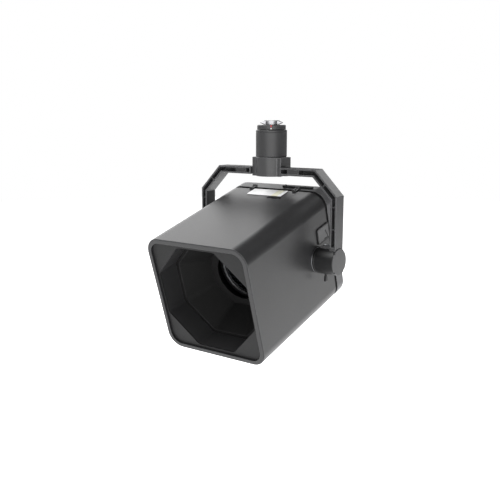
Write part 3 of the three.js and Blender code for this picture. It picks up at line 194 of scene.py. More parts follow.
def bump_from(tree: Tree, height: Socket, depth_mm: float) -> Socket:
    """A bump normal from a height pattern.

    Args:
        tree: The material's node tree.
        height: The pattern, from 0 to 1.
        depth_mm: How deep the pattern is.

    Returns:
        The normal's socket.
    """
    inputs = {"Strength": 1.0, "Distance": depth_mm * MM, "Height": height}
    return add_node(tree, "Bump", inputs).outputs["Normal"]


def two_tone(tree: Tree, factor: Socket, first: Colour | Socket, second: Colour | Socket) -> Socket:
    """Mixes two colours by a pattern.

    Args:
        tree: The material's node tree.
        factor: Where the second colour shows.
        first: The colour at 0.
        second: The colour at 1.

    Returns:
        The mixed colour's socket.
    """
    return add_node(tree, "Mix", {"Factor": factor, 6: first, 7: second}, data_type="RGBA").outputs[2]


# --- finishes


@dataclass(frozen=True)
class Finish:
    """What every finish has: a name, a colour and patterns that feed one Principled shader."""

    name: str
    colour: str

    def inputs(self, tree: Tree) -> dict[str | int, object]:
        """Makes the patterns.

        Args:
            tree: The material's node tree.

        Returns:
            The shader's inputs, as values or sockets.
        """
        return {"Base Color": srgb(self.colour)}

    def build(self) -> Material:
        """Makes the material.

        Returns:
            The material, with a Principled shader on its output.
        """
        material = bpy.data.materials.new(self.name)
        material.use_nodes = True
        tree = material.node_tree
        tree.nodes.clear()
        shader = add_node(tree, "BsdfPrincipled", {})
        add_node(tree, "OutputMaterial", {"Surface": shader.outputs["BSDF"]})
        feed(tree, shader, self.inputs(tree))
        return material


@dataclass(frozen=True)
class PowderCoat(Finish):
    """Powder coat on die-cast or folded metal: satin, with a fine orange peel and slightly rubbed edges.

    The peel of the real coat is under half a millimetre; it is drawn a little coarser so that it shows.
    """

    rubbed: str
    roughness: float
    peel_mm: float = 0.9
    peel_depth_mm: float = 0.018
    cloud_mm: float = 55.0
    scuff_mm: float = 6.0
    ior: float = 1.5

    def inputs(self, tree: Tree) -> dict[str | int, object]:
        """The coat's clouds, rubbed edges and peel."""
        clouds = spread(tree, noise_at(tree, self.cloud_mm, 1.0))
        coat = two_tone(tree, clouds, srgb(self.colour, 0.9), srgb(self.colour))
        wear = add_node(tree, "Attribute", {}, attribute_name="wear").outputs["Fac"]
        scuffs = spread(tree, noise_at(tree, self.scuff_mm, 3.0), 0.25)
        rub = add_node(tree, "Math", {0: wear, 1: scuffs}, operation="MULTIPLY").outputs["Value"]
        peel = noise_at(tree, self.peel_mm, 1.5)
        return {
            "Base Color": two_tone(tree, rub, coat, srgb(self.rubbed)),
            "Roughness": spread(tree, peel, self.roughness - 0.04, self.roughness + 0.05),
            "Normal": bump_from(tree, peel, self.peel_depth_mm),
            "IOR": self.ior,
        }


@dataclass(frozen=True)
class MouldedPlastic(Finish):
    """Glass-filled nylon or ABS from a spark-eroded mould: an even fine grain that takes the shine off."""

    roughness: float
    grain_mm: float = 0.7
    grain_depth_mm: float = 0.02
    cloud_mm: float = 14.0

    def inputs(self, tree: Tree) -> dict[str | int, object]:
        """The plastic's clouds and grain."""
        grain = noise_at(tree, self.grain_mm)
        clouds = spread(tree, noise_at(tree, self.cloud_mm))
        return {
            "Base Color": two_tone(tree, clouds, srgb(self.colour), srgb(self.colour, 1.25)),
            "Roughness": spread(tree, grain, self.roughness - 0.05, self.roughness + 0.05),
            "Normal": bump_from(tree, grain, self.grain_depth_mm),
            "IOR": 1.49,
        }


@dataclass(frozen=True)
class BareMetal(Finish):
    """Machined, extruded or plated metal: a sharp highlight broken by fine tool marks along one axis."""

    roughness: float
    mark_mm: float = 0.4
    mark_depth_mm: float = 0.004
    stretch: tuple[float, float, float] = (1.0, 1.0, 12.0)

    def inputs(self, tree: Tree) -> dict[str | int, object]:
        """The metal's tool marks."""
        place = add_node(tree, "TexCoord", {}).outputs["Object"]
        drawn = add_node(tree, "Mapping", {"Scale": self.stretch, "Vector": place}).outputs["Vector"]
        scale = 1.0 / (self.mark_mm * MM * max(self.stretch))
        marks = add_node(tree, "TexNoise", {"Scale": scale, "Detail": 2.0, "Vector": drawn}).outputs["Fac"]
        return {
            "Base Color": two_tone(tree, spread(tree, marks), srgb(self.colour, 0.86), srgb(self.colour)),
            "Roughness": spread(tree, marks, self.roughness * 0.8, self.roughness * 1.25),
            "Normal": bump_from(tree, marks, self.mark_depth_mm),
            "Metallic": 1.0,
        }


@dataclass(frozen=True)
class Rubber(Finish):
    """EPDM sealing rubber: matt and nearly black, with a slightly dusty skin."""

    roughness: float = 0.8
    dust_mm: float = 5.0
    skin_mm: float = 0.6
    skin_depth_mm: float = 0.03

    def inputs(self, tree: Tree) -> dict[str | int, object]:
        """The rubber's dust and skin."""
        dust = spread(tree, noise_at(tree, self.dust_mm, 3.0))
        return {
            "Base Color": two_tone(tree, dust, srgb(self.colour), srgb(self.colour, 2.2, 0.002)),
            "Roughness": spread(tree, dust, self.roughness - 0.06, self.roughness + 0.08),
            "Normal": bump_from(tree, noise_at(tree, self.skin_mm), self.skin_depth_mm),
            "IOR": 1.52,
        }


@dataclass(frozen=True)
class OpticalGlass(Finish):
    """Coated borosilicate lens glass: clear, with little reflection, a cool tint and a trace of dust."""

    dust_mm: float = 3.0

    def inputs(self, tree: Tree) -> dict[str | int, object]:
        """The glass's tint, coating and dust."""
        return {
            "Base Color": srgb(self.colour),
            "Roughness": spread(tree, noise_at(tree, self.dust_mm, 3.0), 0.01, 0.07),
            "Transmission Weight": 1.0,
            "IOR": 1.474,
            "Specular IOR Level": 0.1,
        }


@dataclass(frozen=True)
class PrintedLabel(Finish):
    """Semi-gloss polyester label stock with one tinted field towards its right end."""

    tint: str
    tint_centre_mm: float
    tint_half_mm: float
    fibre_mm: float = 1.2
    fibre_depth_mm: float = 0.006

    def inputs(self, tree: Tree) -> dict[str | int, object]:
        """The label's tinted field and fibres."""
        place = add_node(tree, "TexCoord", {}).outputs["Object"]
        across = add_node(tree, "SeparateXYZ", {"Vector": place}).outputs["X"]
        field = {0: across, 1: self.tint_centre_mm * MM, 2: self.tint_half_mm * MM}
        tinted = add_node(tree, "Math", field, operation="COMPARE").outputs["Value"]
        fibre = noise_at(tree, self.fibre_mm, 3.0)
        return {
            "Base Color": two_tone(tree, tinted, srgb(self.colour), srgb(self.tint)),
            "Roughness": spread(tree, fibre, 0.32, 0.42),
            "Normal": bump_from(tree, fibre, self.fibre_depth_mm),
            "IOR": 1.5,
        }


@dataclass(frozen=True)
class LitAcrylic(Finish):
    """White acrylic that glows evenly, for the studio's floor."""

    glow: float
    paler: str
    speck_mm: float = 400.0

    def inputs(self, tree: Tree) -> dict[str | int, object]:
        """The acrylic's glow and faint specks."""
        speck = spread(tree, noise_at(tree, self.speck_mm))
        return {
            "Base Color": two_tone(tree, speck, srgb(self.colour), srgb(self.paler)),
            "Roughness": 0.9,
            "Emission Color": (1, 1, 1, 1),
            "Emission Strength": self.glow,
        }


class Finishes:
    """Every finish on the light, made once."""

    def __init__(self) -> None:
        """Builds the materials."""
        matt = {"roughness": 0.62, "peel_mm": 1.2, "peel_depth_mm": 0.03}
        flock = {"roughness": 0.75, "peel_mm": 1.6, "peel_depth_mm": 0.05}
        self.housing = PowderCoat("satin_powder_coat_housing", "313132", "4c4c4e", 0.37).build()
        self.yoke = PowderCoat("satin_powder_coat_yoke", "3e3e3f", "606062", 0.38).build()
        self.drum = PowderCoat("satin_powder_coat_drum", "141415", "343436", 0.4).build()
        self.coupling = PowderCoat("satin_powder_coat_coupling", "323233", "525254", 0.42).build()
        self.baffle = PowderCoat("matt_black_baffle_paint", "202021", "38383a", ior=1.45, **matt).build()
        self.gusset = PowderCoat("matt_black_gusset_paint", "0e0e0f", "1a1a1b", ior=1.38, **matt).build()
        self.velvet = PowderCoat("flocked_black_baffle_lining", "0a0a0a", "363638", ior=1.35, **flock).build()
        self.cover = PowderCoat("satin_powder_coat_cover", "5c5c5e", "7c7c7e", 0.42).build()
        self.plate = PowderCoat("satin_powder_coat_side_plate", "6a6a6b", "8a8a8c", 0.5).build()
        self.bezel = PowderCoat("satin_powder_coat_bezel", "18181a", "343436", 0.47).build()
        self.black = MouldedPlastic("black_glass_filled_nylon", "0b0b0c", 0.5).build()
        self.rubber = Rubber("epdm_rubber", "050506").build()
        self.white = MouldedPlastic("white_enamel", "ededea", 0.35).build()
        acetal = MouldedPlastic("natural_acetal", "d8d2c0", 0.45).build()
        self.slots: dict[str, Material] = {
            "stud_chrome": BareMetal("satin_chrome", "b4b4b7", 0.4, 0.3, 0.001).build(),
            "coupling_paint": self.coupling,
            "yoke_paint": self.yoke,
            "drum_paint": self.drum,
            "housing_paint": self.housing,
            "baffle_black": self.baffle,
            "black_plastic": self.black,
            "insulator": acetal,
            "bush_plastic": acetal,
            "gasket_rubber": self.rubber,
            "steel": BareMetal("zinc_plated_steel", "b4b5b8", 0.3).build(),
            "aluminium": BareMetal("extruded_aluminium", "c2c4c7", 0.38, 0.5, 0.008).build(),
            "brass": BareMetal("turned_brass", "c6a052", 0.28).build(),
            "reflector_mirror": BareMetal("faceted_anodised_mirror", "eeeeee", 0.1, 0.8, 0.003).build(),
            "lens_glass": OpticalGlass("polished_borosilicate", "2c3033").build(),
            "label_white": PrintedLabel("polyester_label_stock", "ffffff", "f7f5da", 19.0, 6.0).build(),
            "red_mark": MouldedPlastic("red_enamel", "b3262a", 0.35).build(),
        }


# --- frame places


def joint(name: str) -> dict[str, object]:
    """One of the frame's joints, by name."""
    return next(j for j in frame["joints"] if j["name"] == name)


def head_place() -> Matrix:
    """Works out where the head's own frame lies.

    Returns:
        The matrix from head millimetres (X across, Y rearward, Z up, origin on the tilt axis) to the frame.
    """
    rearward = -Vector(joint("focus_slide")["axis"])
    up = Vector(joint("latch_turn")["axis"])
    turn = Matrix((rearward.cross(up), rearward, up)).transposed().to_4x4()
    return Matrix.Translation(Vector(joint("tilt")["pos_m"])) @ turn @ Matrix.Scale(MM, 4)


HEAD = head_place()
UPRIGHT = Matrix.Scale(MM, 4)


def box_mm(node: str, place: Matrix = UPRIGHT) -> tuple[Vector, Vector]:
    """A node's lowest and highest corners in millimetres of a place's own frame.

    Args:
        node: The CAD node.
        place: The frame to measure in.

    Returns:
        The lowest and the highest corner.
    """
    back = place.inverted()
    points = [back @ v.co for v in frame["nodes"][node].data.vertices]
    low = Vector(min(p[i] for p in points) for i in range(3))
    high = Vector(max(p[i] for p in points) for i in range(3))
    return low, high


# --- shapes


@dataclass(frozen=True)
class Section:
    """A round-cornered rectangle that stands across Y."""

    half_width: float
    half_height: float
    radius: float
    y: float
    segments: int = 14

    @property
    def cut_back(self) -> float:
        """How far its corners are cut back."""
        return self.radius

    def corners(self, bm: BMesh) -> list[Vert]:
        """Adds the section as a face with sharp corners."""
        flat = slide(0, self.y, 0) @ Matrix.Rotation(math.pi / 2, 4, "X")
        flat = flat @ Matrix.Diagonal((self.half_width, self.half_height, 1, 1))
        return bmesh.ops.create_grid(bm, x_segments=1, y_segments=1, size=1.0, matrix=flat)["verts"]

    def carry(self, point: Vector, old: "Section") -> Vector:
        """Moves a point of another section to where it is on this one.

        Args:
            point: A point on one of the other section's corner rounds.
            old: The other section.

        Returns:
            The point on this section.
        """
        place = []
        for value, half, old_half in (
            (point.x, self.half_width, old.half_width),
            (point.z, self.half_height, old.half_height),
        ):
            side = math.copysign(1, value)
            share = (value - side * (old_half - old.radius)) / old.radius
            place.append(side * (half - self.radius) + share * self.radius)
        return Vector((place[0], self.y, place[1]))


@dataclass(frozen=True)
class Polygon:
    """A regular polygon, or a circle, that stands across Y."""

    sides: int
    radius: float
    y: float
    centre: tuple[float, float] = (0.0, 0.0)
    turn: float = 0.0
    cut_back: float = 0.0
    segments: int = 6

    def corners(self, bm: BMesh) -> list[Vert]:
        """Adds the section as a face with sharp corners."""
        flat = slide(self.centre[0], self.y, self.centre[1])
        flat = flat @ Matrix.Rotation(math.pi / 2, 4, "X") @ Matrix.Rotation(self.turn, 4, "Z")
        return bmesh.ops.create_circle(
            bm, cap_ends=True, segments=self.sides, radius=self.radius, matrix=flat
        )["verts"]

    def carry(self, point: Vector, old: "Polygon") -> Vector:
        """Moves a point of another polygon to where it is on this one."""
        scale = self.radius / old.radius
        across = self.centre[0] + (point.x - old.centre[0]) * scale
        up = self.centre[1] + (point.z - old.centre[1]) * scale
        return Vector((across, self.y, up))


def along(axis: int, longer: float) -> Callable[[Edge], bool]:
    """Picks edges that run more than a length along an axis.

    Args:
        axis: 0 for X, 1 for Y, 2 for Z.
        longer: The length.

    Returns:
        The test of one edge.
    """
    return lambda edge: abs((edge.verts[0].co - edge.verts[1].co)[axis]) > longer


def slide(x: float = 0.0, y: float = 0.0, z: float = 0.0) -> Matrix:
    """A move without a turn."""
    return Matrix.Translation((x, y, z))


class Shape:
    """A bmesh in millimetres. Its "wear" face layer marks the narrow faces of rounded edges."""

    def __init__(self) -> None:
        """Starts an empty shape."""
        self.bm = bmesh.new()
        self.wear = self.bm.faces.layers.float.new("wear")

    def transform(self, matrix: Matrix) -> "Shape":
        """Moves every vertex by a matrix."""
        bmesh.ops.transform(self.bm, matrix=matrix, verts=self.bm.verts)
        return self

    def box(self, low: Sequence[float], high: Sequence[float]) -> "Shape":
        """Adds a box.

        Args:
            low: Its lowest corner.
            high: Its highest corner.

        Returns:
            This shape.
        """
        size = Vector(high) - Vector(low)
        centre = (Vector(high) + Vector(low)) / 2
        matrix = Matrix.Translation(centre) @ Matrix.Diagonal(size.to_4d())
        bmesh.ops.create_cube(self.bm, size=1.0, matrix=matrix)
        return self

    def loop(self, section: "Section | Polygon") -> list[Edge]:
        """Adds a section's edge loop, with its corners rounded.

        Args:
            section: The section.

        Returns:
            The loop's edges.
        """
        verts = section.corners(self.bm)
        face = verts[0].link_faces[0]
        if section.cut_back > 0:
            before = set(self.bm.verts)
            bmesh.ops.bevel(
                self.bm,
                geom=verts,
                offset=section.cut_back,
                offset_type="OFFSET",
                affect="VERTICES",
                segments=section.segments,
                profile=0.5,
                material=-1,
                clamp_overlap=True,
            )
            face = next(v for v in self.bm.verts if v not in before).link_faces[0]
        edges = list(face.edges)
        bmesh.ops.delete(self.bm, geom=[face], context="FACES_ONLY")
        return edges

    def sweep(
        self, sections: "Sequence[Section] | Sequence[Polygon]", closed: bool = True
    ) -> list[list[Edge]]:
        """Draws the first section's loop out through the others.

        Args:
            sections: The sections in order, all of one kind.
            closed: Whether the last section joins the first.

        Returns:
            Each section's loop of edges.
        """
        rings = [self.loop(sections[0])]
        stops = [*sections[1:], sections[0]] if closed else sections[1:]
        for old, new in zip(sections, stops):
            made = bmesh.ops.extrude_edge_only(self.bm, edges=rings[-1])["geom"]
            for vert in made:
                if isinstance(vert, Vert):
                    vert.co = new.carry(vert.co, old)
            rings.append([e for e in made if isinstance(e, Edge)])
        if closed:
            bmesh.ops.remove_doubles(self.bm, verts=self.bm.verts, dist=1e-3)
        bmesh.ops.recalc_face_normals(self.bm, faces=self.bm.faces)
        return rings

    def cap(self, ring: list[Edge]) -> "Shape":
        """Closes a loop with one face."""
        bmesh.ops.edgeloop_fill(self.bm, edges=ring)
        return self

    def fill_between(self, *rings: list[Edge]) -> "Shape":
        """Fills the flat area between an outer loop and the holes in it."""
        edges = [edge for ring in rings for edge in ring]
        bmesh.ops.triangle_fill(self.bm, use_beauty=True, use_dissolve=False, edges=edges)
        return self

    def spun(
        self, profile: Sequence[tuple[float, float]], axis: str = "Z", steps: int = 96
    ) -> "Shape":
        """Adds a turned body. Its profile starts and ends on the axis, or is closed.

        Args:
            profile: The profile's (radius, height) points.
            axis: The axis it turns about.
            steps: Facets round the body.

        Returns:
            This shape.
        """
        other = bmesh.new()
        verts = [other.verts.new((radius, 0, height)) for radius, height in profile]
        edges = [other.edges.new(pair) for pair in zip(verts, verts[1:])]
        bmesh.ops.spin(
            other,
            geom=verts + edges,
            cent=(0, 0, 0),
            axis=(0, 0, 1),
            angle=2 * math.pi,
            steps=steps,
            use_merge=True,
        )
        bmesh.ops.remove_doubles(other, verts=other.verts, dist=1e-5)
        bmesh.ops.recalc_face_normals(other, faces=other.faces)
        turns = {
            "Z": Matrix.Identity(4),
            "X": Matrix.Rotation(math.pi / 2, 4, "Y"),
            "Y": Matrix.Rotation(-math.pi / 2, 4, "X"),
        }
        bmesh.ops.transform(other, matrix=turns[axis], verts=other.verts)
        self._take(other)
        return self

    def _take(self, other: BMesh) -> None:
        """Adds another bmesh's faces to this one and frees it.

        Args:
            other: The other bmesh, which is used up.
        """
        holder = bpy.data.meshes.new("taken")
        other.to_mesh(holder)
        other.free()
        self.bm.from_mesh(holder)
        bpy.data.meshes.remove(holder)
        self.wear = self.bm.faces.layers.float.get("wear")

    def add(self, other: "Shape") -> "Shape":
        """Takes in another shape as a further shell."""
        self._take(other.bm)
        return self

    def tidy(self) -> "Shape":
        """Merges doubles and turns all faces outwards."""
        bmesh.ops.remove_doubles(self.bm, verts=self.bm.verts, dist=1e-4)
        bmesh.ops.recalc_face_normals(self.bm, faces=self.bm.faces)
        return self

    def bevel(
        self,
        width: float,
        segments: int = 3,
        over_degrees: float = 30.0,
        where: Callable[[Edge], bool] | None = None,
        worn: float = 1.0,
        clamp: bool = True,
    ) -> "Shape":
        """Rounds the sharp edges and marks the rounds as worn.

        Args:
            width: The round's width.
            segments: Faces across the round.
            over_degrees: Edges sharper than this are rounded.
            where: Picks among those edges.
            worn: How rubbed the rounds are, from 0 to 1.
            clamp: Whether the round shrinks where edges are short.

        Returns:
            This shape.
        """
        limit = math.radians(over_degrees)
        edges = [
            e
            for e in self.bm.edges
            if len(e.link_faces) == 2 and e.calc_face_angle(0) > limit and (where is None or where(e))
        ]
        made = bmesh.ops.bevel(
            self.bm,
            geom=edges,
            offset=width,
            offset_type="OFFSET",
            affect="EDGES",
            segments=segments,
            profile=0.5,
            material=-1,
            clamp_overlap=clamp,
        )
        for face in made["faces"]:
            face[self.wear] = worn
        return self

    def carve(self, *cutters: "Shape", join: bool = False) -> "Shape":
        """Cuts other shapes out of this one, or joins them on.

        Args:
            cutters: The other shapes, which are used up.
            join: Whether they are joined on.

        Returns:
            This shape.
        """
        body = self._as_object("carved")
        tools = [cutter._as_object("cutter") for cutter in cutters]
        for tool in tools:
            modifier = body.modifiers.new("cut", "BOOLEAN")
            modifier.object = tool
            modifier.operation = "UNION" if join else "DIFFERENCE"
            modifier.solver = "EXACT"
        graph = bpy.context.evaluated_depsgraph_get()
        result = bpy.data.meshes.new_from_object(body.evaluated_get(graph))
        self.bm = bmesh.new()
        self.bm.from_mesh(result)
        self.wear = self.bm.faces.layers.float.get("wear") or self.bm.faces.layers.float.new("wear")
        for used in [body, *tools]:
            mesh = used.data
            bpy.data.objects.remove(used)
            bpy.data.meshes.remove(mesh)
        bpy.data.meshes.remove(result)
        return self

    def _as_object(self, name: str) -> bpy.types.Object:
        """Puts the bmesh into a scratch object and frees it.

        Args:
            name: The scratch object's name.

        Returns:
            The scratch object.
        """
        mesh = bpy.data.meshes.new(name)
        self.bm.to_mesh(mesh)
        self.bm.free()
        made = bpy.data.objects.new(name, mesh)
        bpy.context.scene.collection.objects.link(made)
        return made

    def piece(
        self,
        name: str,
        place: Matrix,
        materials: Sequence[Material],
        smooth_degrees: float = 35.0,
    ) -> bpy.types.Object:
        """Finishes the shape as an object in the frame, in metres.

        Args:
            name: The piece's name.
            place: The matrix from this shape's millimetres to the frame.
            materials: Its materials, in slot order.
            smooth_degrees: Edges sharper than this stay crisp.

        Returns:
            The piece.
        """
        bmesh.ops.transform(self.bm, matrix=place, verts=self.bm.verts)
        mesh = bpy.data.meshes.new(name)
        for face in self.bm.faces:
            face.smooth = True
        self.bm.to_mesh(mesh)
        self.bm.free()
        mesh.set_sharp_from_angle(angle=math.radians(smooth_degrees))
        for material in materials:
            mesh.materials.append(material)
        made = bpy.data.objects.new(name, mesh)
        bpy.context.scene.collection.objects.link(made)
        weighted = made.modifiers.new("weighted_normals", "WEIGHTED_NORMAL")
        weighted.keep_sharp = True
        weighted.weight = 50
        return made


def cylinder(
    radius: float, low: float, high: float, axis: str = "Z", steps: int = 48, edge: float = 0.0
) -> Shape:
    """A round bar with softened ends.

    Args:
        radius: Its radius.
        low: Its lower end along the axis.
        high: Its upper end.
        axis: The axis it lies along.
        steps: Facets round it.
        edge: The chamfer at both ends.

    Returns:
        The bar, centred on the axis.
    """
    if edge > 0:
        side = [(radius - edge, low), (radius, low + edge), (radius, high - edge), (radius - edge, high)]
    else:
        side = [(radius, low), (radius, high)]
    profile = [(0, low), *side, (0, high)]
    return Shape().spun(profile, axis, steps)


def from_frame(node: str, place: Matrix = UPRIGHT) -> Shape:
    """A copy of a CAD node in millimetres, with its flat faces whole again.

    Args:
        node: The node.
        place: The frame that the copy is measured in.

    Returns:
        The copy.
    """
    shape = Shape()
    shape.bm.from_mesh(frame["nodes"][node].data)
    shape.wear = shape.bm.faces.layers.float.get("wear") or shape.bm.faces.layers.float.new("wear")
    bmesh.ops.transform(shape.bm, matrix=place.inverted(), verts=shape.bm.verts)
    bmesh.ops.remove_doubles(shape.bm, verts=shape.bm.verts, dist=2e-3)
    bmesh.ops.dissolve_limit(
        shape.bm,
        angle_limit=math.radians(1.0),
        use_dissolve_boundaries=False,
        verts=shape.bm.verts,
        edges=shape.bm.edges,
    )
    shape.bm.faces.ensure_lookup_table()
    return shape


@dataclass
class Assembly:
    """What every sub-assembly shares: its place, the finishes, and how a piece is put on its body."""

    finishes: Finishes
    place: ClassVar[Matrix] = UPRIGHT

    def box(self, node: str) -> tuple[Vector, Vector]:
        """A node's lowest and highest corners in millimetres of this assembly's own place."""
        return box_mm(node, self.place)

    def fit(
        self,
        shape: Shape,
        name: str,
        node: str | None,
        slot: str,
        body: str | None = None,
        extra: Sequence[Material] = (),
        material: Material | None = None,
    ) -> bpy.types.Object:
        """Finishes a shape, puts it on its body and lets it stand for its CAD node.

        Args:
            shape: The shape, in millimetres of the assembly's own place.
            name: The piece's name.
            node: The CAD node that it stands for, if it stands for one.
            slot: The record's material slot.
            body: The body, where no node gives it.
            extra: Materials after the first.
            material: The first material, where it isn't the slot's own.

        Returns:
            The piece.
        """
        first = material or self.finishes.slots[slot]
        made = shape.piece(name, self.place, [first, *extra])
        home = body or frame["nodes"][node]["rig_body"]
        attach(made, home)
        if node is not None:
            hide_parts(node)
        log.info("%s on %s: %d faces", name, home, len(made.data.polygons))
        return made

    def dress(self, slot: str, *nodes: str) -> None:
        """Gives CAD nodes that stay as they are their finish."""
        for name in nodes:
            mesh = frame["nodes"][name].data
            mesh.materials.clear()
            mesh.materials.append(self.finishes.slots[slot])
            log.info("%s keeps its CAD shape", name)

    def soften(
        self,
        node: str,
        slot: str,
        width: float,
        over_degrees: float = 40.0,
        name: str | None = None,
        material: Material | None = None,
    ) -> None:
        """Rounds a CAD node's edges and lets the result stand for it.

        Args:
            node: The CAD node.
            slot: The record's material slot.
            width: The rounds' width.
            over_degrees: Edges sharper than this are rounded.
            name: The piece's name, where it isn't the node's with "_softened".
            material: Its material, where it isn't the slot's own.
        """
        shape = from_frame(node, self.place).bevel(width, 2, over_degrees)
        self.fit(shape, name or node + "_softened", node, slot, material=material)


# --- coupling


@dataclass
class Coupling(Assembly):
    """The quick-lock stud, its lock ring with two marks, and the round adapter below it."""

    stud_radius: float = 12.9
    stud_round: float = 0.6
    stud_rim: float = 1.5
    shank_radius: float = 9.0
    lug_tip_radius: float = 18.5
    lug_tip_height: float = 0.7
    lug_root_height: float = 5.4
    lug_setback: float = 0.9
    lug_width: float = 18.0
    contact_circle: float = 7.5
    contact_hole: float = 1.7
    contact_radius: float = 1.4
    contact_count: int = 4
    contact_disc_radius: float = 9.0
    contact_disc_height: float = 2.0
    contact_sunk: float = 0.2
    contact_tip_steps: int = 4
    ring_chamfer: float = 1.1
    ring_bore: float = 9.35
    ring_seat_depth: float = 0.5
    ring_seat_slope: float = 0.6
    mark_degrees: float = 33.0
    mark_gap: float = 0.25
    mark_height: float = 0.3
    dot_radius: float = 0.8
    dot_rise: float = 1.7
    adapter_chamfer: float = 1.0
    adapter_wall: float = 3.2
    adapter_roof: float = 4.0
    adapter_bore: float = 9.3
    adapter_shoulder: tuple[tuple[float, float], ...] = ((1.2, 0.0), (0.3, 0.6), (0.0, 1.3))
    seam_below_top: float = 4.2
    seam_groove: float = 0.35

    def contact_places(self) -> Iterable[tuple[float, float]]:
        """Gives the contacts' places on their circle.

        Returns:
            X and Y of each contact.
        """
        for number in range(self.contact_count):
            angle = 2 * math.pi * (number + 0.5) / self.contact_count
            yield self.contact_circle * math.cos(angle), self.contact_circle * math.sin(angle)

    def stud(self) -> None:
        """Builds the chromed stud with its two V-edged lugs and four contact holes."""
        low = self.box("coupling_stud")[0]
        ring_top = self.box("lock_ring")[1].z
        shank = self.shank_radius
        round_off = self.stud_round
        profile = [
            (0, low.z),
            (shank - SOFT, low.z),
            (shank, low.z + SOFT),
            (shank, ring_top + SOFT),
            (self.stud_radius, ring_top + SOFT),
            (self.stud_radius, -round_off),
            (self.stud_radius - round_off * 0.3, -round_off * 0.3),
            (self.stud_radius - round_off, 0),
            (self.stud_radius - self.stud_rim, 0),
            (self.stud_radius - self.stud_rim - SOFT, -SOFT),
            (0, -SOFT),
        ]
        body = Shape().spun(profile, steps=96)
        body.carve(self.lugs(), join=True)
        holes = [
            cylinder(self.contact_hole, low.z - 1, 1, steps=24).transform(slide(x, y, 0))
            for x, y in self.contact_places()
        ]
        body.carve(*holes)
        self.fit(body, "stud_turned", "coupling_stud", "stud_chrome")

    def lugs(self) -> Shape:
        """Makes the two lugs as what is left of a V-edged disc.

        Returns:
            The lugs, across the direction of the index mark.
        """
        top = -self.lug_setback
        bottom = top - self.lug_root_height
        middle = (top + bottom) / 2
        half_tip = self.lug_tip_height / 2
        profile = [
            (0, bottom),
            (self.stud_radius, bottom),
            (self.lug_tip_radius, middle - half_tip),
            (self.lug_tip_radius, middle + half_tip),
            (self.stud_radius, top),
            (0, top),
        ]
        disc = Shape().spun(profile, steps=96)
        reach = self.lug_tip_radius + 2
        half = self.lug_width / 2
        waste = [
            Shape().box((-reach, low, bottom - 1), (reach, high, 1))
            for low, high in ((-reach, -half), (half, reach))
        ]
        disc.carve(*waste)
        return disc.transform(Matrix.Rotation(math.radians(self.mark_degrees), 4, "Z"))

    def pins(self) -> None:
        """Builds the spring contacts with round tips on their disc."""
        low, high = self.box("contact_pins")
        disc_top = low.z + self.contact_disc_height
        disc = cylinder(self.contact_disc_radius, low.z, disc_top, edge=SOFT)
        tip = self.contact_radius
        foot = disc_top - self.contact_sunk
        profile = [(0, foot), (tip, foot), (tip, high.z - tip)]
        for step in range(self.contact_tip_steps):
            angle = math.pi / 2 * (step + 1) / self.contact_tip_steps
            profile.append((tip * math.cos(angle), high.z - tip + tip * math.sin(angle)))
        for x, y in self.contact_places():
            disc.add(Shape().spun(profile, steps=20).transform(slide(x, y, 0)))
        self.fit(disc, "contact_pins_turned", "contact_pins", "brass")

    def ring(self) -> None:
        """Builds the lock ring with a chamfered top round a shallow seat."""
        low, high = self.box("lock_ring")
        radius = high.x
        bore = self.ring_bore
        soft = self.ring_chamfer
        seat = high.z - self.ring_seat_depth
        profile = [
            (bore, low.z),
            (radius - SOFT, low.z),
            (radius, low.z + SOFT),
            (radius, high.z - soft),
            (radius - soft, high.z),
            (self.lug_tip_radius + self.ring_seat_slope, high.z),
            (self.lug_tip_radius, seat),
            (bore, seat),
            (bore, low.z),
        ]
        body = Shape().spun(profile, steps=96)
        for face in body.bm.faces:
            middle = face.calc_center_median()
            on_chamfer = middle.z > high.z - soft and abs(face.normal.z) > 0.3
            if on_chamfer and middle.xy.length > radius - soft:
                face[body.wear] = 0.5
        self.fit(body, "lock_ring_turned", "lock_ring", "coupling_paint")

    def marks(self) -> None:
        """Builds the raised red triangle at the ring's top and the white dot near its bottom."""
        low, high = self.box("lock_ring")
        radius = high.x
        mark_low, mark_high = (corner.z for corner in self.box("index_mark"))
        half = (mark_high - mark_low) / 2
        turn = Matrix.Rotation(math.radians(self.mark_degrees), 4, "Z")
        triangle = Shape()
        corners = [(-half, mark_high), (half, mark_high), (0, mark_low)]
        verts = [triangle.bm.verts.new((x, -radius - self.mark_gap, z)) for x, z in corners]
        face = triangle.bm.faces.new(verts)
        raised = bmesh.ops.extrude_face_region(triangle.bm, geom=[face])
        moved = [v for v in raised["geom"] if isinstance(v, Vert)]
        bmesh.ops.translate(triangle.bm, vec=(0, -self.mark_height, 0), verts=moved)
        triangle.tidy().bevel(0.1, 2)
        self.fit(triangle.transform(turn), "index_mark_red", "index_mark", "red_mark")
        dot = cylinder(self.dot_radius, -radius - 0.2, -radius + 0.3, "Y", 20, 0.08)
        dot.transform(slide(0, 0, low.z + self.dot_rise))
        self.fit(
            dot.transform(turn),
            "index_dot_white",
            None,
            "coupling_paint",
            body=frame["nodes"]["lock_ring"]["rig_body"],
            material=self.finishes.white,
        )

    def adapter(self) -> None:
        """Builds the adapter can: a chamfered drum with a fine seam near its top, hollow below its roof."""
        low, high = self.box("adapter_body")
        radius = high.x
        soft = self.adapter_chamfer
        wall = self.adapter_wall
        roof = high.z - self.adapter_roof
        bore = self.adapter_bore
        seam = high.z - self.seam_below_top
        groove = self.seam_groove
        profile = [
            (bore, high.z),
            *((radius - inward, high.z - down) for inward, down in self.adapter_shoulder),
            (radius, seam + groove),
            (radius - groove, seam),
            (radius, seam - groove),
            (radius, low.z + soft),
            (radius - soft, low.z),
            (radius - wall, low.z),
            (radius - wall, roof),
            (bore, roof),
            (bore, high.z),
        ]
        body = Shape().spun(profile, steps=128)
        self.fit(body, "adapter_can", "adapter_body", "coupling_paint")

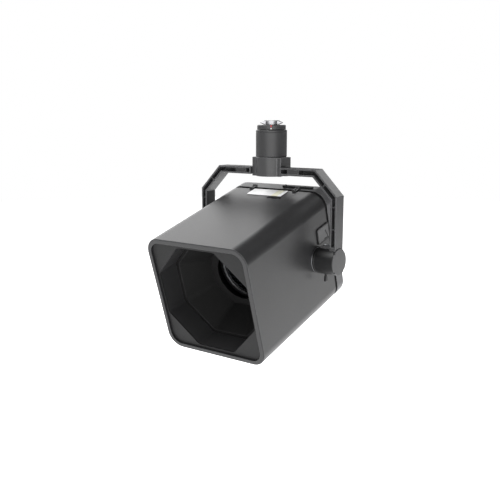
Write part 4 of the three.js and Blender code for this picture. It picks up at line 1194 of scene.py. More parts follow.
    def build(self) -> None:
        """Builds the whole coupling."""
        self.stud()
        self.pins()
        self.ring()
        self.marks()
        self.adapter()
        self.soften("stud_nut", "steel", 0.6, over_degrees=30.0)
        self.soften("terminal_block", "insulator", 0.6, over_degrees=30.0)


# --- yoke


@dataclass
class Yoke(Assembly):
    """The pan block and the die-cast yoke with its ribbed channel."""

    casting_round: float = 0.7
    block_round: float = 0.9
    screw_recess: float = 1.2
    screw_shank_radius: float = 2.4
    screw_head_height: float = 2.4
    screw_head_chamfer: float = 0.5
    screw_point_chamfer: float = 0.4
    screw_socket_share: float = 0.55
    full_round_length: float = 2.5

    def long_edge(self, edge: Edge) -> bool:
        """Whether an edge is long enough to be rounded in full."""
        return edge.calc_length() > self.full_round_length

    def pan_pivot(self) -> None:
        """Builds the steel pan shaft, washer and nut, and the bush that carries them."""
        self.soften("pan_shaft", "steel", 0.4)
        self.soften("pan_washer", "steel", 0.2)
        self.soften("pan_nut", "steel", 0.6)
        self.soften("pan_bush", "bush_plastic", 0.3)

    def block(self) -> None:
        """Builds the pan block: a plate with a round boss that runs down its middle."""
        shape = from_frame("pan_block").bevel(self.block_round, 3, 50.0, self.long_edge, clamp=False)
        self.fit(shape, "pan_block_cast", "pan_block", "yoke_paint")

    def channel(self) -> None:
        """Builds the yoke casting with rounded edges."""
        shape = from_frame("yoke_frame").bevel(self.casting_round, 2, 25.0, self.long_edge, clamp=False)
        self.fit(shape, "yoke_casting", "yoke_frame", "yoke_paint")

    def screws(self) -> None:
        """Builds the two socket screws that hold the block from below."""
        for side in Side:
            node = f"yoke_screw_{side.word}"
            low, high = self.box(node)
            centre = (low + high) / 2
            head = (high.x - low.x) / 2
            shank = self.screw_shank_radius
            head_top = low.z + self.screw_head_height
            soft = self.screw_head_chamfer
            point = self.screw_point_chamfer
            profile = [
                (0, low.z),
                (head - soft, low.z),
                (head, low.z + soft),
                (head, head_top),
                (shank, head_top),
                (shank, high.z - point),
                (shank - point, high.z),
                (0, high.z),
            ]
            body = Shape().spun(profile, steps=40)
            socket = cylinder(head * self.screw_socket_share, low.z - 1, low.z + self.screw_recess, steps=6)
            body.carve(socket)
            body.transform(slide(centre.x, centre.y, 0))
            self.fit(body, f"yoke_socket_screw_{side.word}", node, "steel")

    def build(self) -> None:
        """Builds the yoke and what fastens it."""
        self.pan_pivot()
        self.block()
        self.channel()
        self.screws()


# --- tilt pivots


@dataclass
class TiltPivot(Assembly):
    """One side's drum, cap, bush, shaft, nut, foot screws and lock lever."""

    side: Side = Side.RIGHT
    drum_bearing: float = 18.0
    drum_bore: float = 11.65
    drum_wall: float = 3.5
    drum_chamfer: float = 0.8
    drum_rim_chamfer: float = 0.4
    drum_groove: float = 0.5
    drum_groove_from_end: float = 3.4
    lock_hole_radius: float = 2.35
    lock_hole_depth: float = 5.3
    foot_hole_radius: float = 1.45
    foot_hole_depth: float = 2.05
    foot_head_radius: float = 2.3
    foot_head_height: float = 1.6
    foot_shank_radius: float = 1.15
    washer_plate: float = 0.8
    cross_half_size: tuple[float, float] = (1.4, 0.3)
    cross_depth: float = 0.7
    spigot_step: float = 3.8
    cap_gap: float = 0.3
    cap_edge: float = 0.2
    cap_round: float = 0.5
    notch: float = 1.5
    notch_count: int = 4
    lever_round: float = 0.8
    stem_radius: float = 2.0
    stem_from_tip: float = 6.0
    wing_height: float = 9.0
    wing_taper: tuple[float, float, float] = (0.9, 0.72, 1.0)

    @property
    def turned(self) -> Matrix:
        """From a shape that points along +X off the tilt axis to this side, upright."""
        axis = Vector(joint("tilt")["pos_m"]) / MM
        return Matrix.Translation(axis) @ Matrix.Diagonal((self.side.value, 1, 1, 1))

    def reach(self, node: str) -> tuple[float, float]:
        """How near to and how far from the middle a node of this side comes along X."""
        low, high = self.box(f"{node}_{self.side.word}")
        return min(abs(low.x), abs(high.x)), max(abs(low.x), abs(high.x))

    def placed(self, shape: Shape) -> Shape:
        """Puts a shape on this side and turns its faces outwards again."""
        shape.transform(self.turned)
        bmesh.ops.recalc_face_normals(shape.bm, faces=shape.bm.faces)
        return shape

    def drum(self) -> None:
        """Builds the drum with a fine groove round it and holes for the lock and the foot screws."""
        near, far = self.reach("tilt_drum")
        radius = self.cap_radius()
        bearing = near + self.drum_bearing
        bore = self.drum_bore
        inside = radius - self.drum_wall
        groove = self.drum_groove
        first = near + self.drum_groove_from_end
        soft, rim = self.drum_chamfer, self.drum_rim_chamfer
        profile = [
            (bore, near),
            (radius - soft, near),
            (radius, near + soft),
            (radius, first - groove),
            (radius - groove, first),
            (radius, first + groove),
            (radius, far - rim),
            (radius - rim, far),
            (inside, far),
            (inside, bearing),
            (bore, bearing),
            (bore, near),
        ]
        body = Shape().spun(profile, "X", 128)
        lock_hole = cylinder(self.lock_hole_radius, -radius - 2, -radius + self.lock_hole_depth, steps=24)
        screw_hole_end = radius - self.foot_hole_depth
        holes = [
            cylinder(self.foot_hole_radius, screw_hole_end, radius + 2, steps=16).transform(slide(x))
            for x in self.foot_screw_across()
        ]
        body.carve(lock_hole.transform(slide(self.lock_across())), *holes)
        word = self.side.word
        self.fit(self.placed(body), f"tilt_drum_turned_{word}", f"tilt_drum_{word}", "drum_paint")

    def cap_radius(self) -> float:
        """The radius of the cap, and of the drum under it."""
        return self.box(f"tilt_cap_{self.side.word}")[1].y - joint("tilt")["pos_m"][1] / MM

    def lock_across(self) -> float:
        """How far the lock lever's axis is from the middle."""
        near, far = self.reach("tilt_lock")
        return (near + far) / 2

    def foot_screw_across(self) -> tuple[float, float]:
        """How far the foot screws are from the middle."""
        near, far = self.reach("foot_screws")
        return near + self.foot_head_radius, far - self.foot_head_radius

    def cap(self) -> None:
        """Builds the cap: a flat disc with a soft rim, a spigot, and four notches round its edge."""
        near, far = self.reach("tilt_cap")
        drum_far = self.reach("tilt_drum")[1]
        radius = self.cap_radius()
        spigot = radius - self.spigot_step
        soft = self.cap_round
        seat = drum_far + self.cap_gap
        profile = [
            (0, near),
            (spigot - SOFT, near),
            (spigot, near + SOFT),
            (spigot, seat),
            (radius - self.cap_edge, seat),
            (radius, seat + self.cap_edge),
            (radius, far - soft),
            (radius - soft * 0.3, far - soft * 0.3),
            (radius - soft, far),
            (0, far),
        ]
        body = Shape().spun(profile, "X", 128)
        for face in body.bm.faces:
            middle = face.calc_center_median()
            if middle.x > far - soft and middle.yz.length > radius - soft:
                face[body.wear] = 0.8
        notches = []
        for number in range(self.notch_count):
            angle = math.pi * 2 * (number + 0.5) / self.notch_count
            tool = cylinder(self.notch, seat - 0.2, far + 1, "X", 20)
            notches.append(
                tool.transform(slide(0, radius * math.cos(angle), radius * math.sin(angle)))
            )
        body.carve(*notches)
        word = self.side.word
        self.fit(self.placed(body), f"tilt_cap_turned_{word}", f"tilt_cap_{word}", "yoke_paint")

    def foot_screws(self) -> None:
        """Builds the washer plate and its two cross-head screws."""
        node = f"foot_screws_{self.side.word}"
        low, high = self.box(node)
        plate_top = high.z - self.foot_head_height
        shank, head = self.foot_shank_radius, self.foot_head_radius
        seat = plate_top - 0.1
        plate = Shape().box((low.x, low.y, plate_top - self.washer_plate), (high.x, high.y, plate_top))
        plate.bevel(0.25, 2)
        dome = [
            (0, low.z),
            (shank, low.z),
            (shank, seat),
            (head, seat),
            (head, plate_top + 0.7),
            (head - 0.4, plate_top + 1.25),
            (head - 1.2, high.z),
            (0, high.z),
        ]
        for across in self.foot_screw_across():
            screw = Shape().spun(dome, steps=32)
            slot_floor = high.z - self.cross_depth
            slots = [
                Shape().box((-x, -y, slot_floor), (x, y, high.z + 1))
                for x, y in (self.cross_half_size, self.cross_half_size[::-1])
            ]
            screw.carve(*slots)
            plate.add(screw.transform(slide(self.side.value * across, (low.y + high.y) / 2)))
        self.fit(plate, f"foot_screws_turned_{self.side.word}", node, "steel")

    def lock(self) -> None:
        """Builds the lock lever: a round stem with a flat wing that tapers to its grip."""
        node = f"tilt_lock_{self.side.word}"
        low, high = self.box(node)
        centre = (low + high) / 2
        stem = cylinder(self.stem_radius, low.z + self.stem_from_tip, high.z, steps=32, edge=SOFT)
        stem.transform(slide(centre.x, centre.y))
        wing = Shape().box(low, (high.x, high.y, low.z + self.wing_height))
        tops = [v for v in wing.bm.verts if v.co.z > low.z + self.wing_height / 2]
        bmesh.ops.scale(wing.bm, vec=self.wing_taper, space=Matrix.Translation(-centre), verts=tops)
        wing.bevel(self.lever_round, 3)
        wing.carve(stem, join=True)
        self.fit(wing, f"tilt_lock_moulded_{self.side.word}", node, "black_plastic")

    def build(self) -> None:
        """Builds this side's pivot."""
        self.drum()
        self.cap()
        self.foot_screws()
        self.lock()
        word = self.side.word
        self.soften(f"tilt_bush_{word}", "bush_plastic", 0.3, name=f"tilt_bush_softened_{word}")
        self.soften(f"tilt_shaft_{word}", "steel", 0.3, name=f"tilt_shaft_softened_{word}")
        self.soften(f"tilt_nut_{word}", "steel", 0.6, name=f"tilt_nut_softened_{word}")


# --- head


@dataclass
class Head(Assembly):
    """The square hood: housing, bezel, mask, octagonal baffle, gasket, side plates, label and hinge pins."""

    place: ClassVar[Matrix] = HEAD
    half_width: float = 94.7
    half_height: float = 95.4
    corner: float = 25.0
    wall: float = 2.6
    fit_gap: float = 0.3
    front_share: float = 0.992
    seam: float = 44.6
    face: float = 172.0
    corner_segments: int = 14
    bezel_width: float = 7.2
    bezel_inset: float = 0.9
    bezel_lip: float = 0.7
    bezel_sleeve: float = 3.2
    rim_stands_out: float = 1.0
    octagon_apothem: float = 83.04
    octagon_corner: float = 3.0
    ledge_corner: float = 4.0
    baffle_wall: float = 1.8
    funnel_mouth: float = 78.0
    funnel_throat: float = 52.0
    funnel_flange: float = 2.0
    funnel_wall_at_mouth: float = 0.6
    gasket_inset: float = 0.1
    gap_from_seam: float = 3.2
    seal_half_width: float = 3.0
    seal_lip: float = 0.7
    seal_depth: float = 1.7
    plate_corner: float = 3.5
    plate_border: float = 2.0
    arrow_width: float = 2.2
    arrow_rise: float = 0.45
    arrow: tuple[tuple[float, float], ...] = ((30.6, 37.7), (37.1, 24.4), (25.3, 23.8))
    label_corner: float = 1.5
    own_knuckle: tuple[float, float] = (37.0, 45.65)
    knuckle_radius: float = 3.0
    leaf_reach: float = 8.0
    leaf_setback: float = 1.5
    leaf_in_wall: float = 1.3
    hinge_bore_radius: float = 1.55
    hinge_bore_reach: float = 60.0
    shaft_hole_radius: float = 9.3
    slot_half_length: float = 13.0
    slot_half_width: float = 2.9

    def share(self, station: float) -> float:
        """How the housing's section shrinks towards the front."""
        return 1 + (self.front_share - 1) * (station + self.seam) / (self.face + self.seam)

    def section(self, inset: float, station: float) -> Section:
        """The housing's section at a station, set in from its outer face.

        Args:
            inset: How far inside the outer face.
            station: The distance ahead of the tilt axis.

        Returns:
            The section.
        """
        share = self.share(station)
        return Section(
            (self.half_width - inset) * share,
            (self.half_height - inset) * share,
            (self.corner - inset) * share,
            -station,
            self.corner_segments,
        )

    def octagon(self, apothem: float, station: float, corner: float = 0.0) -> Polygon:
        """An octagon at a station, flat at the top.

        Args:
            apothem: From its centre to its flats.
            station: The distance ahead of the tilt axis.
            corner: How far its corners are rounded.

        Returns:
            The octagon.
        """
        return Polygon(8, apothem / math.cos(math.pi / 8), -station, turn=math.pi / 8, cut_back=corner)

    def housing(self) -> None:
        """Builds the hood's shell with its focus slot, shaft holes and hinge knuckles."""
        rear = self.gap_from_seam - self.seam
        front = self.face - self.rim_stands_out
        shell = Shape()
        inner_rear = self.section(self.wall, rear)
        outer = [self.section(0.0, rear), self.section(0.0, front)]
        shell.sweep([*outer, self.section(self.wall, front), inner_rear])
        shell.bevel(0.5, 3, over_degrees=60.0)
        wheel = self.box("focus_wheel")
        middle = (wheel[0] + wheel[1]) / 2
        half_slot = Vector((self.slot_half_length, self.slot_half_width, 0))
        slot = Shape().box(
            (middle.x - half_slot.x, middle.y - half_slot.y, self.half_height - self.wall - 4),
            (middle.x + half_slot.x, middle.y + half_slot.y, self.half_height + 2),
        )
        slot.bevel(1.6, 4, where=along(2, 1))
        holes = [cylinder(self.shaft_hole_radius, end, end + 20, "X", 48) for end in (80.0, -100.0)]
        shell.carve(slot, *holes)
        shell.carve(*self.knuckles(*self.own_knuckle, -1), join=True)
        shell.carve(self.hinge_bore())
        self.fit(shell, "hood_shell", "main_housing", "housing_paint")

    def hinge_axis(self) -> Matrix:
        """Where the cover's hinge line lies in the head."""
        return Matrix.Translation(HEAD.inverted() @ Vector(joint("rear_cover_open")["pos_m"]))

    def hinge_bore(self) -> Shape:
        """Makes the cutter for the hinge pins' hole."""
        reach = self.hinge_bore_reach
        return cylinder(self.hinge_bore_radius, -reach, reach, "X", 24).transform(self.hinge_axis())

    def knuckles(self, inner: float, outer: float, toward: int) -> list[Shape]:
        """Makes the left and right hinge knuckles, each with its leaf to the wall above.

        Args:
            inner: The knuckle's end nearer to the middle.
            outer: Its other end.
            toward: -1 for a leaf ahead of the hinge line, 1 for one behind it.

        Returns:
            The knuckles.
        """
        axis = self.hinge_axis().translation
        low_y, high_y = sorted((axis.y + toward * self.leaf_reach, axis.y + toward * self.leaf_setback))
        top = self.leaf_in_wall - self.half_height
        made = []
        for side in (-1, 1):
            ends = sorted((side * inner, side * outer))
            barrel = cylinder(self.knuckle_radius, *ends, "X", 32, SOFT).transform(self.hinge_axis())
            leaf = Shape().box((ends[0], low_y, axis.z), (ends[1], high_y, top))
            made += [barrel, leaf.bevel(0.4, 2)]
        return made

    def bezel(self) -> None:
        """Builds the front rim: a proud lip over the housing's end and a short sleeve inside it."""
        outer = (self.half_width * self.front_share, self.half_height * self.front_share)
        inner = (outer[0] - self.wall, outer[1] - self.wall)
        lip_rear = self.face - self.bezel_lip
        sleeve_rear = self.face - self.bezel_sleeve
        shape = Shape()

        def rim(base: tuple[float, float], inset: float, corner: float, station: float) -> Section:
            """One rounded section of the rim."""
            return Section(base[0] - inset, base[1] - inset, corner, -station, self.corner_segments)

        lip = (outer, self.bezel_inset, self.corner - self.bezel_inset)
        aperture = (outer, self.bezel_width, self.corner - self.bezel_width)
        sleeve = (inner, self.fit_gap, self.corner - self.wall - self.fit_gap)
        shape.sweep(
            [
                rim(*lip, lip_rear),
                rim(*lip, self.face),
                rim(*aperture, self.face),
                rim(*aperture, sleeve_rear),
                rim(*sleeve, sleeve_rear),
                rim(*sleeve, lip_rear),
            ]
        )
        shape.bevel(0.6, 3, over_degrees=60.0, where=lambda e: e.verts[0].co.y < -self.face + 0.1)
        self.fit(shape, "front_rim", "front_bezel", "housing_paint", material=self.finishes.bezel)

    def mask(self) -> None:
        """Builds the plate behind the rim, with its octagonal aperture."""
        front, rear = (-corner.y for corner in self.box("corner_mask"))
        less = self.wall + self.fit_gap
        half_width = self.half_width * self.front_share - less
        half_height = self.half_height * self.front_share - less
        corner = self.corner - less
        shape = Shape()
        outline = shape.sweep(
            [Section(half_width, half_height, corner, -s, self.corner_segments) for s in (rear, front)], False
        )
        hole = shape.sweep(
            [self.octagon(self.octagon_apothem, s, self.octagon_corner) for s in (rear, front)], False
        )
        shape.fill_between(outline[0], hole[0]).fill_between(outline[1], hole[1]).tidy()
        shape.bevel(0.4, 2, over_degrees=60.0, worn=0.4)
        self.fit(shape, "corner_gussets", "corner_mask", "baffle_black", material=self.finishes.gusset)

    def tube(self) -> None:
        """Builds the octagonal sleeve between the mask and the ledge."""
        front, rear = (-corner.y for corner in self.box("baffle_tube"))
        outside = self.octagon_apothem + self.baffle_wall
        shape = Shape()
        inside = self.octagon_apothem
        steps = ((outside, rear), (outside, front), (inside, front), (inside, rear))
        shape.sweep([self.octagon(apothem, station, self.octagon_corner) for apothem, station in steps])
        shape.bevel(0.3, 2, over_degrees=60.0, worn=0.3)
        self.fit(shape, "octagon_sleeve", "baffle_tube", "baffle_black")

    def funnel(self) -> None:
        """Builds the flared baffle: an octagon that rounds off and narrows towards the lens."""
        front, rear = (-corner.y for corner in self.box("baffle_funnel"))
        shape = Shape()
        outside = self.octagon_apothem + self.baffle_wall
        flange_rear = front - self.funnel_flange
        steps = [
            (self.funnel_throat + self.baffle_wall, rear),
            (self.funnel_mouth + self.funnel_wall_at_mouth, flange_rear),
            (outside, flange_rear),
            (outside, front),
            (self.funnel_mouth, front),
            (self.funnel_throat, rear),
        ]
        shape.sweep([self.octagon(apothem, station, self.ledge_corner) for apothem, station in steps])
        shape.bevel(0.6, 3, over_degrees=50.0, worn=0.5)
        self.fit(shape, "flared_baffle", "baffle_funnel", "baffle_black", material=self.finishes.velvet)

    def gasket(self) -> None:
        """Builds the rubber seal before the rear cover: a channel with a lip at the cover's side."""
        rear = -self.seam - self.seal_half_width
        front = -self.seam + self.seal_half_width
        lip = rear + self.seal_lip
        steps = [
            (self.gasket_inset, rear),
            (self.gasket_inset, lip),
            (self.seal_depth, lip),
            (self.seal_depth, front),
            (self.wall, front),
            (self.wall, rear),
        ]
        shape = Shape()
        shape.sweep([self.section(inset, station) for inset, station in steps])
        shape.bevel(0.2, 2, over_degrees=60.0, worn=0.0)
        self.fit(shape, "seam_seal", "rear_gasket", "gasket_rubber")

    def side_plate(self, side: Side) -> None:
        """Builds a side plate with a black border and a raised open arrow.

        Args:
            side: Which side it is on.
        """
        node = f"side_plate_{side.word}"
        low, high = self.box(node)
        shape = Shape().box(low, high)
        shape.bevel(self.plate_corner, 6, where=along(0, 0.5), worn=0.0)
        outer = max(shape.bm.faces, key=lambda f: side.value * f.calc_center_median().x)
        shape.bm.faces.ensure_lookup_table()
        bmesh.ops.inset_region(shape.bm, faces=[outer], thickness=self.plate_border, depth=0.0)
        bmesh.ops.inset_region(shape.bm, faces=[outer], thickness=SOFT, depth=-SOFT)
        for face in shape.bm.faces:
            face.material_index = 0 if face is outer else 1
        face_x = high.x if side is Side.RIGHT else low.x
        elbow = Vector(self.arrow[1])
        for end in (Vector(self.arrow[0]), Vector(self.arrow[2])):
            reach = end - elbow
            rise, half = self.arrow_rise, self.arrow_width / 2
            bar = Shape().box((-rise, -half, 0), (rise, half, reach.length))
            bar.bevel(0.2, 2)
            for face in bar.bm.faces:
                face.material_index = 1
            bar.transform(Matrix.Rotation(-math.atan2(reach.x, reach.y), 4, "X"))
            bar.transform(slide(face_x - side.value * rise, elbow.x, elbow.y))
            shape.add(bar)
        plate, border = self.finishes.plate, self.finishes.black
        name = f"side_plate_framed_{side.word}"
        self.fit(shape, name, node, "housing_paint", extra=[border], material=plate)

    def label(self) -> None:
        """Builds the blank roof label with round corners."""
        low, high = self.box("roof_label")
        shape = Shape().box(low, high)
        shape.bevel(self.label_corner, 5, where=along(2, 0.2), worn=0.0)
        shape.bevel(0.1, 1, over_degrees=60.0, worn=0.0)
        self.fit(shape, "blank_label", "roof_label", "label_white")

    def build(self) -> None:
        """Builds the hood and what is fixed to it."""
        self.housing()
        self.bezel()
        self.mask()
        self.tube()
        self.funnel()
        self.gasket()
        for side in Side:
            self.side_plate(side)
            pin = f"hinge_pin_{side.word}"
            self.soften(pin, "steel", 0.3, over_degrees=60.0, name=f"hinge_pin_turned_{side.word}")
        self.label()


# --- optics


@dataclass
class Optics(Assembly):
    """The lens on its carriage, the focus wheel, the gate, reflector, emitter, heat sink, fan and driver."""

    place: ClassVar[Matrix] = HEAD
    lens_edge: float = 4.0
    lens_crown: float = 11.0
    lens_radius: float = 45.0
    clear_radius: float = 42.0
    crown_steps: int = 14
    knurl_count: int = 60
    knurl_depth: float = 0.55
    wheel_bore: float = 3.3

    def lens(self) -> None:
        """Builds the plano-convex front lens with a true spherical crown."""
        rear = -self.box("front_lens")[1].y
        edge_front = rear + self.lens_edge
        sphere = (self.clear_radius**2 + self.lens_crown**2) / (2 * self.lens_crown)
        profile = [
            (0, rear),
            (self.lens_radius - 0.4, rear),
            (self.lens_radius, rear + 0.4),
            (self.lens_radius, edge_front),
        ]
        for step in range(self.crown_steps + 1):
            radius = self.clear_radius * (1 - step / self.crown_steps)
            drop = sphere - math.sqrt(sphere**2 - radius**2)
            profile.append((radius, edge_front + self.lens_crown - drop))
        body = Shape().spun(profile, steps=96).transform(Matrix.Rotation(math.pi / 2, 4, "X"))
        self.fit(body, "crown_lens", "front_lens", "lens_glass")

    def wheel(self) -> None:
        """Builds the focus wheel with a knurled edge."""
        low, high = self.box("focus_wheel")
        centre = (low + high) / 2
        radius = (high.x - low.x) / 2
        shape = Shape()
        first = low.y + 0.5
        steps = ((low.y, radius - 0.5), (first, radius), (high.y - 0.5, radius), (high.y, radius - 0.5))
        rings = shape.sweep(
            [Polygon(self.knurl_count * 2, size, y, (centre.x, centre.z)) for y, size in steps], False
        )
        bearings = sorted({self.bearing(v.co, centre) for v in shape.bm.verts})
        dips = set(bearings[::2])
        bmesh.ops.scale(
            shape.bm,
            vec=(1 - self.knurl_depth / radius, 1, 1 - self.knurl_depth / radius),
            space=slide(-centre.x, 0, -centre.z),
            verts=[v for v in shape.bm.verts if self.bearing(v.co, centre) in dips],
        )
        shape.cap(rings[0]).cap(rings[-1]).tidy()
        bore = cylinder(self.wheel_bore, low.y - 1, high.y + 1, "Y", 32)
        shape.carve(bore.transform(slide(centre.x, 0, centre.z)))
        self.fit(shape, "focus_wheel_knurled", "focus_wheel", "black_plastic", material=self.finishes.rubber)

    @staticmethod
    def bearing(point: Vector, centre: Vector) -> float:
        """A point's angle round a centre, seen along Y and rounded."""
        return round(math.atan2(point.z - centre.z, point.x - centre.x), 4)

    def build(self) -> None:
        """Builds the optics and the parts behind them."""
        self.lens()
        self.wheel()
        self.soften("optics_bulkhead", "baffle_black", 0.3, material=self.finishes.velvet)
        self.soften("lens_carriage", "black_plastic", 0.6, material=self.finishes.velvet)
        self.soften("lens_ring", "aluminium", 0.25)
        self.soften("gate_plate", "aluminium", 0.3)
        self.soften("heat_sink", "aluminium", 0.3)
        self.soften("fan_frame", "black_plastic", 0.4)
        self.soften("fan_rotor", "black_plastic", 0.25)
        self.soften("driver_box", "aluminium", 1.2)
        self.soften("guide_rod", "steel", 0.3)
        self.soften("focus_screw", "brass", 0.3)
        self.soften("led_module", "label_white", 0.3, material=self.finishes.white)
        self.dress("reflector_mirror", "reflector")


# --- rear cover


@dataclass
class RearCover(Assembly):
    """The hinged rear cover with its vents, clips and latch lever."""

    place: ClassVar[Matrix] = HEAD
    hood: Head | None = None
    rim_depth: float = 21.0
    depth: float = 33.0
    bevel: float = 17.0
    wall: float = 2.4
    own_knuckle: tuple[float, float] = (46.35, 55.0)
    edge_round: float = 2.2
    vent_count: int = 7
    vent_length: float = 76.0
    vent_width: float = 5.0
    vent_pitch: float = 11.0
    clip_thickness: float = 1.6
    clip_bar: float = 2.2
    arm_half_width: float = 2.3
    arm_below_head: float = 0.6
    arm_tip_share: float = 0.8

    def shell(self) -> None:
        """Builds the cover: a straight rim, a sloped shoulder, and a back with round-ended vents."""
        hood = self.hood
        front = hood.seam + hood.gap_from_seam
        rim_rear = front + self.rim_depth
        rear = front + self.depth
        share = 1 - self.bevel / hood.half_width
        shape = Shape()

        def across(inset: float, y: float, scale: float = 1.0) -> Section:
            """Makes one section of the cover.

            Args:
                inset: How far inside the outer face.
                y: Where it stands.
                scale: Its size as a share of the rim's.

            Returns:
                The section.
            """
            return Section(
                (hood.half_width - inset) * scale,
                (hood.half_height - inset) * scale,
                (hood.corner - inset) * scale,
                y,
                hood.corner_segments,
            )

        rings = shape.sweep(
            [
                across(0, rear, share),
                across(0, rim_rear),
                across(0, front),
                across(self.wall, front),
                across(self.wall, rim_rear),
                across(self.wall, rear - self.wall, share),
            ],
            closed=False,
        )
        shape.cap(rings[0]).cap(rings[-1]).tidy()
        near = 0.1

        def behind_rim(edge: Edge) -> bool:
            """Whether an edge is on the shoulder or the back."""
            return min(v.co.y for v in edge.verts) > rim_rear - near

        shape.bevel(self.edge_round, 5, 20.0, behind_rim, worn=0.35)
        shape.bevel(0.5, 3, 60.0, lambda edge: max(v.co.y for v in edge.verts) < front + near)
        vents = []
        for number in range(self.vent_count):
            height = (number - (self.vent_count - 1) / 2) * self.vent_pitch
            vent = Shape().box(
                (-self.vent_length / 2, rear - self.wall - 2, height - self.vent_width / 2),
                (self.vent_length / 2, rear + 2, height + self.vent_width / 2),
            )
            vents.append(vent.bevel(self.vent_width / 2 - 0.05, 6, where=along(1, 3)))
        shape.carve(*vents)
        shape.carve(*hood.knuckles(*self.own_knuckle, 1), join=True)
        shape.carve(hood.hinge_bore())
        self.fit(shape, "rear_cover_shell", "rear_cover", "housing_paint", material=self.finishes.cover)

    def clip(self, side: Side) -> None:
        """Builds a toggle clip: a thin plate over the seam, a rolled rear edge and a lifted finger.

        Args:
            side: Which side it is on.
        """
        node = f"cover_clip_{side.word}"
        low, high = self.box(node)
        thickness = self.clip_thickness
        plate = Shape().box((low.x, low.y, low.z), (high.x, high.y - thickness, low.z + thickness))
        plate.bevel(0.4, 3)
        roll = cylinder(thickness, low.x, high.x, "X", 28, 0.25)
        roll.transform(slide(0, high.y - thickness, low.z + thickness))
        finger = Shape().box((low.x, low.y, low.z + 0.2), (high.x, low.y + thickness, high.z)).bevel(0.6, 4)
        plate.carve(roll, finger, join=True)
        bar = self.clip_bar
        window = Shape().box((low.x + bar, low.y + 4, low.z - 1), (high.x - bar, high.y - 4.6, high.z + 1))
        plate.carve(window.bevel(0.8, 3))
        self.fit(plate, f"toggle_clip_{side.word}", node, "black_plastic", material=self.finishes.yoke)

    def latch(self) -> None:
        """Builds the latch lever: a domed round head and a long arm that narrows to its tip."""
        low, high = self.box("latch_lever")
        pivot = HEAD.inverted() @ Vector(joint("latch_turn")["pos_m"])
        head = pivot.x - low.x
        arm_top = high.z - self.arm_below_head
        dome = [
            (0, low.z),
            (head - 0.4, low.z),
            (head, low.z + 0.4),
            (head, arm_top),
            (head - 0.5, high.z - 0.15),
            (head - 1.2, high.z),
            (0, high.z),
        ]
        knob = Shape().spun(dome, steps=40).transform(slide(pivot.x, pivot.y, 0))
        half = self.arm_half_width
        arm = Shape().box((pivot.x, pivot.y - half, low.z), (high.x, pivot.y + half, arm_top))
        tips = [v for v in arm.bm.verts if v.co.x > high.x - 1]
        bmesh.ops.scale(arm.bm, vec=(1, self.arm_tip_share, 1), space=slide(0, -pivot.y, 0), verts=tips)
        arm.bevel(0.7, 3)
        arm.carve(knob, join=True)
        self.fit(arm, "latch_lever_moulded", "latch_lever", "black_plastic")

    def build(self) -> None:
        """Builds the cover and what it carries."""
        self.shell()
        for side in Side:
            self.clip(side)
        self.latch()


# --- studio


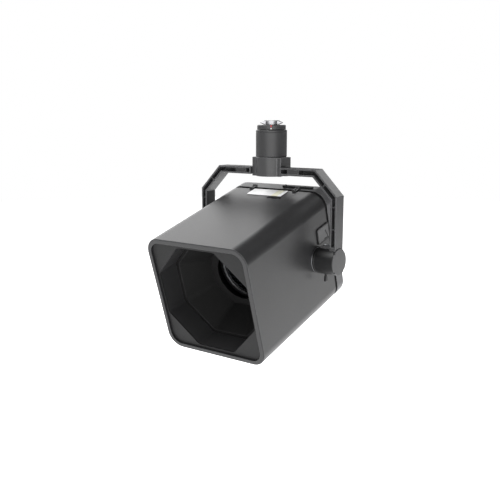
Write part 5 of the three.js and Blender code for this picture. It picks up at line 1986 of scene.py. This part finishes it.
@dataclass
class Studio:
    """A pale floor far below, a soft bright room, four soft boxes and the camera."""

    camera_place: tuple[float, float, float] = (0.64526, -0.93356, -0.0023)
    camera_turn_degrees: float = 36.4
    camera_down_degrees: float = 10.46
    lens_mm: float = 50.0
    floor_drop: float = 0.3
    floor_radius: float = 5.0
    floor_glow: float = 1.25
    room_glow: float = 0.08

    def camera(self) -> None:
        """Places the camera."""
        data = bpy.data.cameras.new("camera")
        data.lens = self.lens_mm
        data.sensor_width = 36.0
        data.clip_start = 0.01
        data.clip_end = 200.0
        made = bpy.data.objects.new("camera", data)
        made.location = self.camera_place
        made.rotation_euler = (
            math.radians(90 - self.camera_down_degrees),
            0,
            math.radians(self.camera_turn_degrees),
        )
        bpy.context.scene.collection.objects.link(made)
        bpy.context.scene.camera = made

    def floor(self) -> None:
        """Lays a round pale floor, lit from within, below the hanging light."""
        low = CAD_BOX[0][2] - self.floor_drop
        bm = bmesh.new()
        level = slide(0, 0, low)
        bmesh.ops.create_circle(bm, cap_ends=True, segments=64, radius=self.floor_radius, matrix=level)
        mesh = bpy.data.meshes.new("floor")
        bm.to_mesh(mesh)
        bm.free()
        acrylic = LitAcrylic("lit_white_acrylic_floor", "f4f4f4", self.floor_glow, "fafafa")
        mesh.materials.append(acrylic.build())
        made = bpy.data.objects.new("floor", mesh)
        bpy.context.scene.collection.objects.link(made)

    def room(self) -> None:
        """Lights the room evenly; seen by the camera it is white."""
        world = bpy.data.worlds.new("soft_room")
        world.use_nodes = True
        tree = world.node_tree
        tree.nodes.clear()
        white = (1, 1, 1, 1)
        seen = add_node(tree, "Background", {"Color": white, "Strength": 1.0}).outputs[0]
        lit = add_node(tree, "Background", {"Color": white, "Strength": self.room_glow}).outputs[0]
        path = add_node(tree, "LightPath", {}).outputs["Is Camera Ray"]
        mix = add_node(tree, "MixShader", {"Fac": path, 1: lit, 2: seen}).outputs[0]
        add_node(tree, "OutputWorld", {"Surface": mix})
        bpy.context.scene.world = world

    def soft_box(
        self,
        name: str,
        toward: tuple[float, float, float],
        away: float,
        size: tuple[float, float],
        glow: float,
    ) -> None:
        """Hangs a soft box that faces the light.

        Args:
            name: The soft box's name.
            toward: Its direction from the light.
            away: Its distance, in metres.
            size: Its width and height, in metres.
            glow: The radiance of its face.
        """
        data = bpy.data.lights.new(name, "AREA")
        data.shape = "RECTANGLE"
        data.size, data.size_y = size
        data.energy = glow * math.pi * size[0] * size[1]
        made = bpy.data.objects.new(name, data)
        centre = Vector((CAD_BOX[0][i] + CAD_BOX[1][i]) / 2 for i in range(3))
        direction = Vector(toward).normalized()
        made.location = centre + direction * away
        made.rotation_euler = (-direction).to_track_quat("-Z", "Y").to_euler()
        made.visible_camera = False
        bpy.context.scene.collection.objects.link(made)

    def build(self) -> None:
        """Sets up the studio."""
        self.camera()
        self.floor()
        self.room()
        self.soft_box("overhead_left", (-0.8, 0.34, 0.56), 2.2, (2.2, 2.0), 2.3)
        self.soft_box("overhead_front", (-0.3, -0.45, 0.85), 2.2, (1.3, 1.3), 6.0)
        self.soft_box("low_rear", (0.12, 0.86, 0.5), 2.4, (0.9, 0.9), 3.0)
        self.soft_box("behind_camera", (0.55, -0.83, 0.12), 2.2, (3.0, 1.2), 2.7)
        view = bpy.context.scene.view_settings
        view.view_transform = "Standard"
        view.look = "None"


def main() -> None:
    """Builds the studio and every sub-assembly in order, and logs each piece."""
    logging.basicConfig(level=logging.INFO, format="%(message)s")
    Studio().build()
    finishes = Finishes()
    Coupling(finishes).build()
    Yoke(finishes).build()
    for side in Side:
        TiltPivot(finishes, side).build()
    hood = Head(finishes)
    hood.build()
    Optics(finishes).build()
    RearCover(finishes, hood).build()


if __name__ == "__main__":
    main()
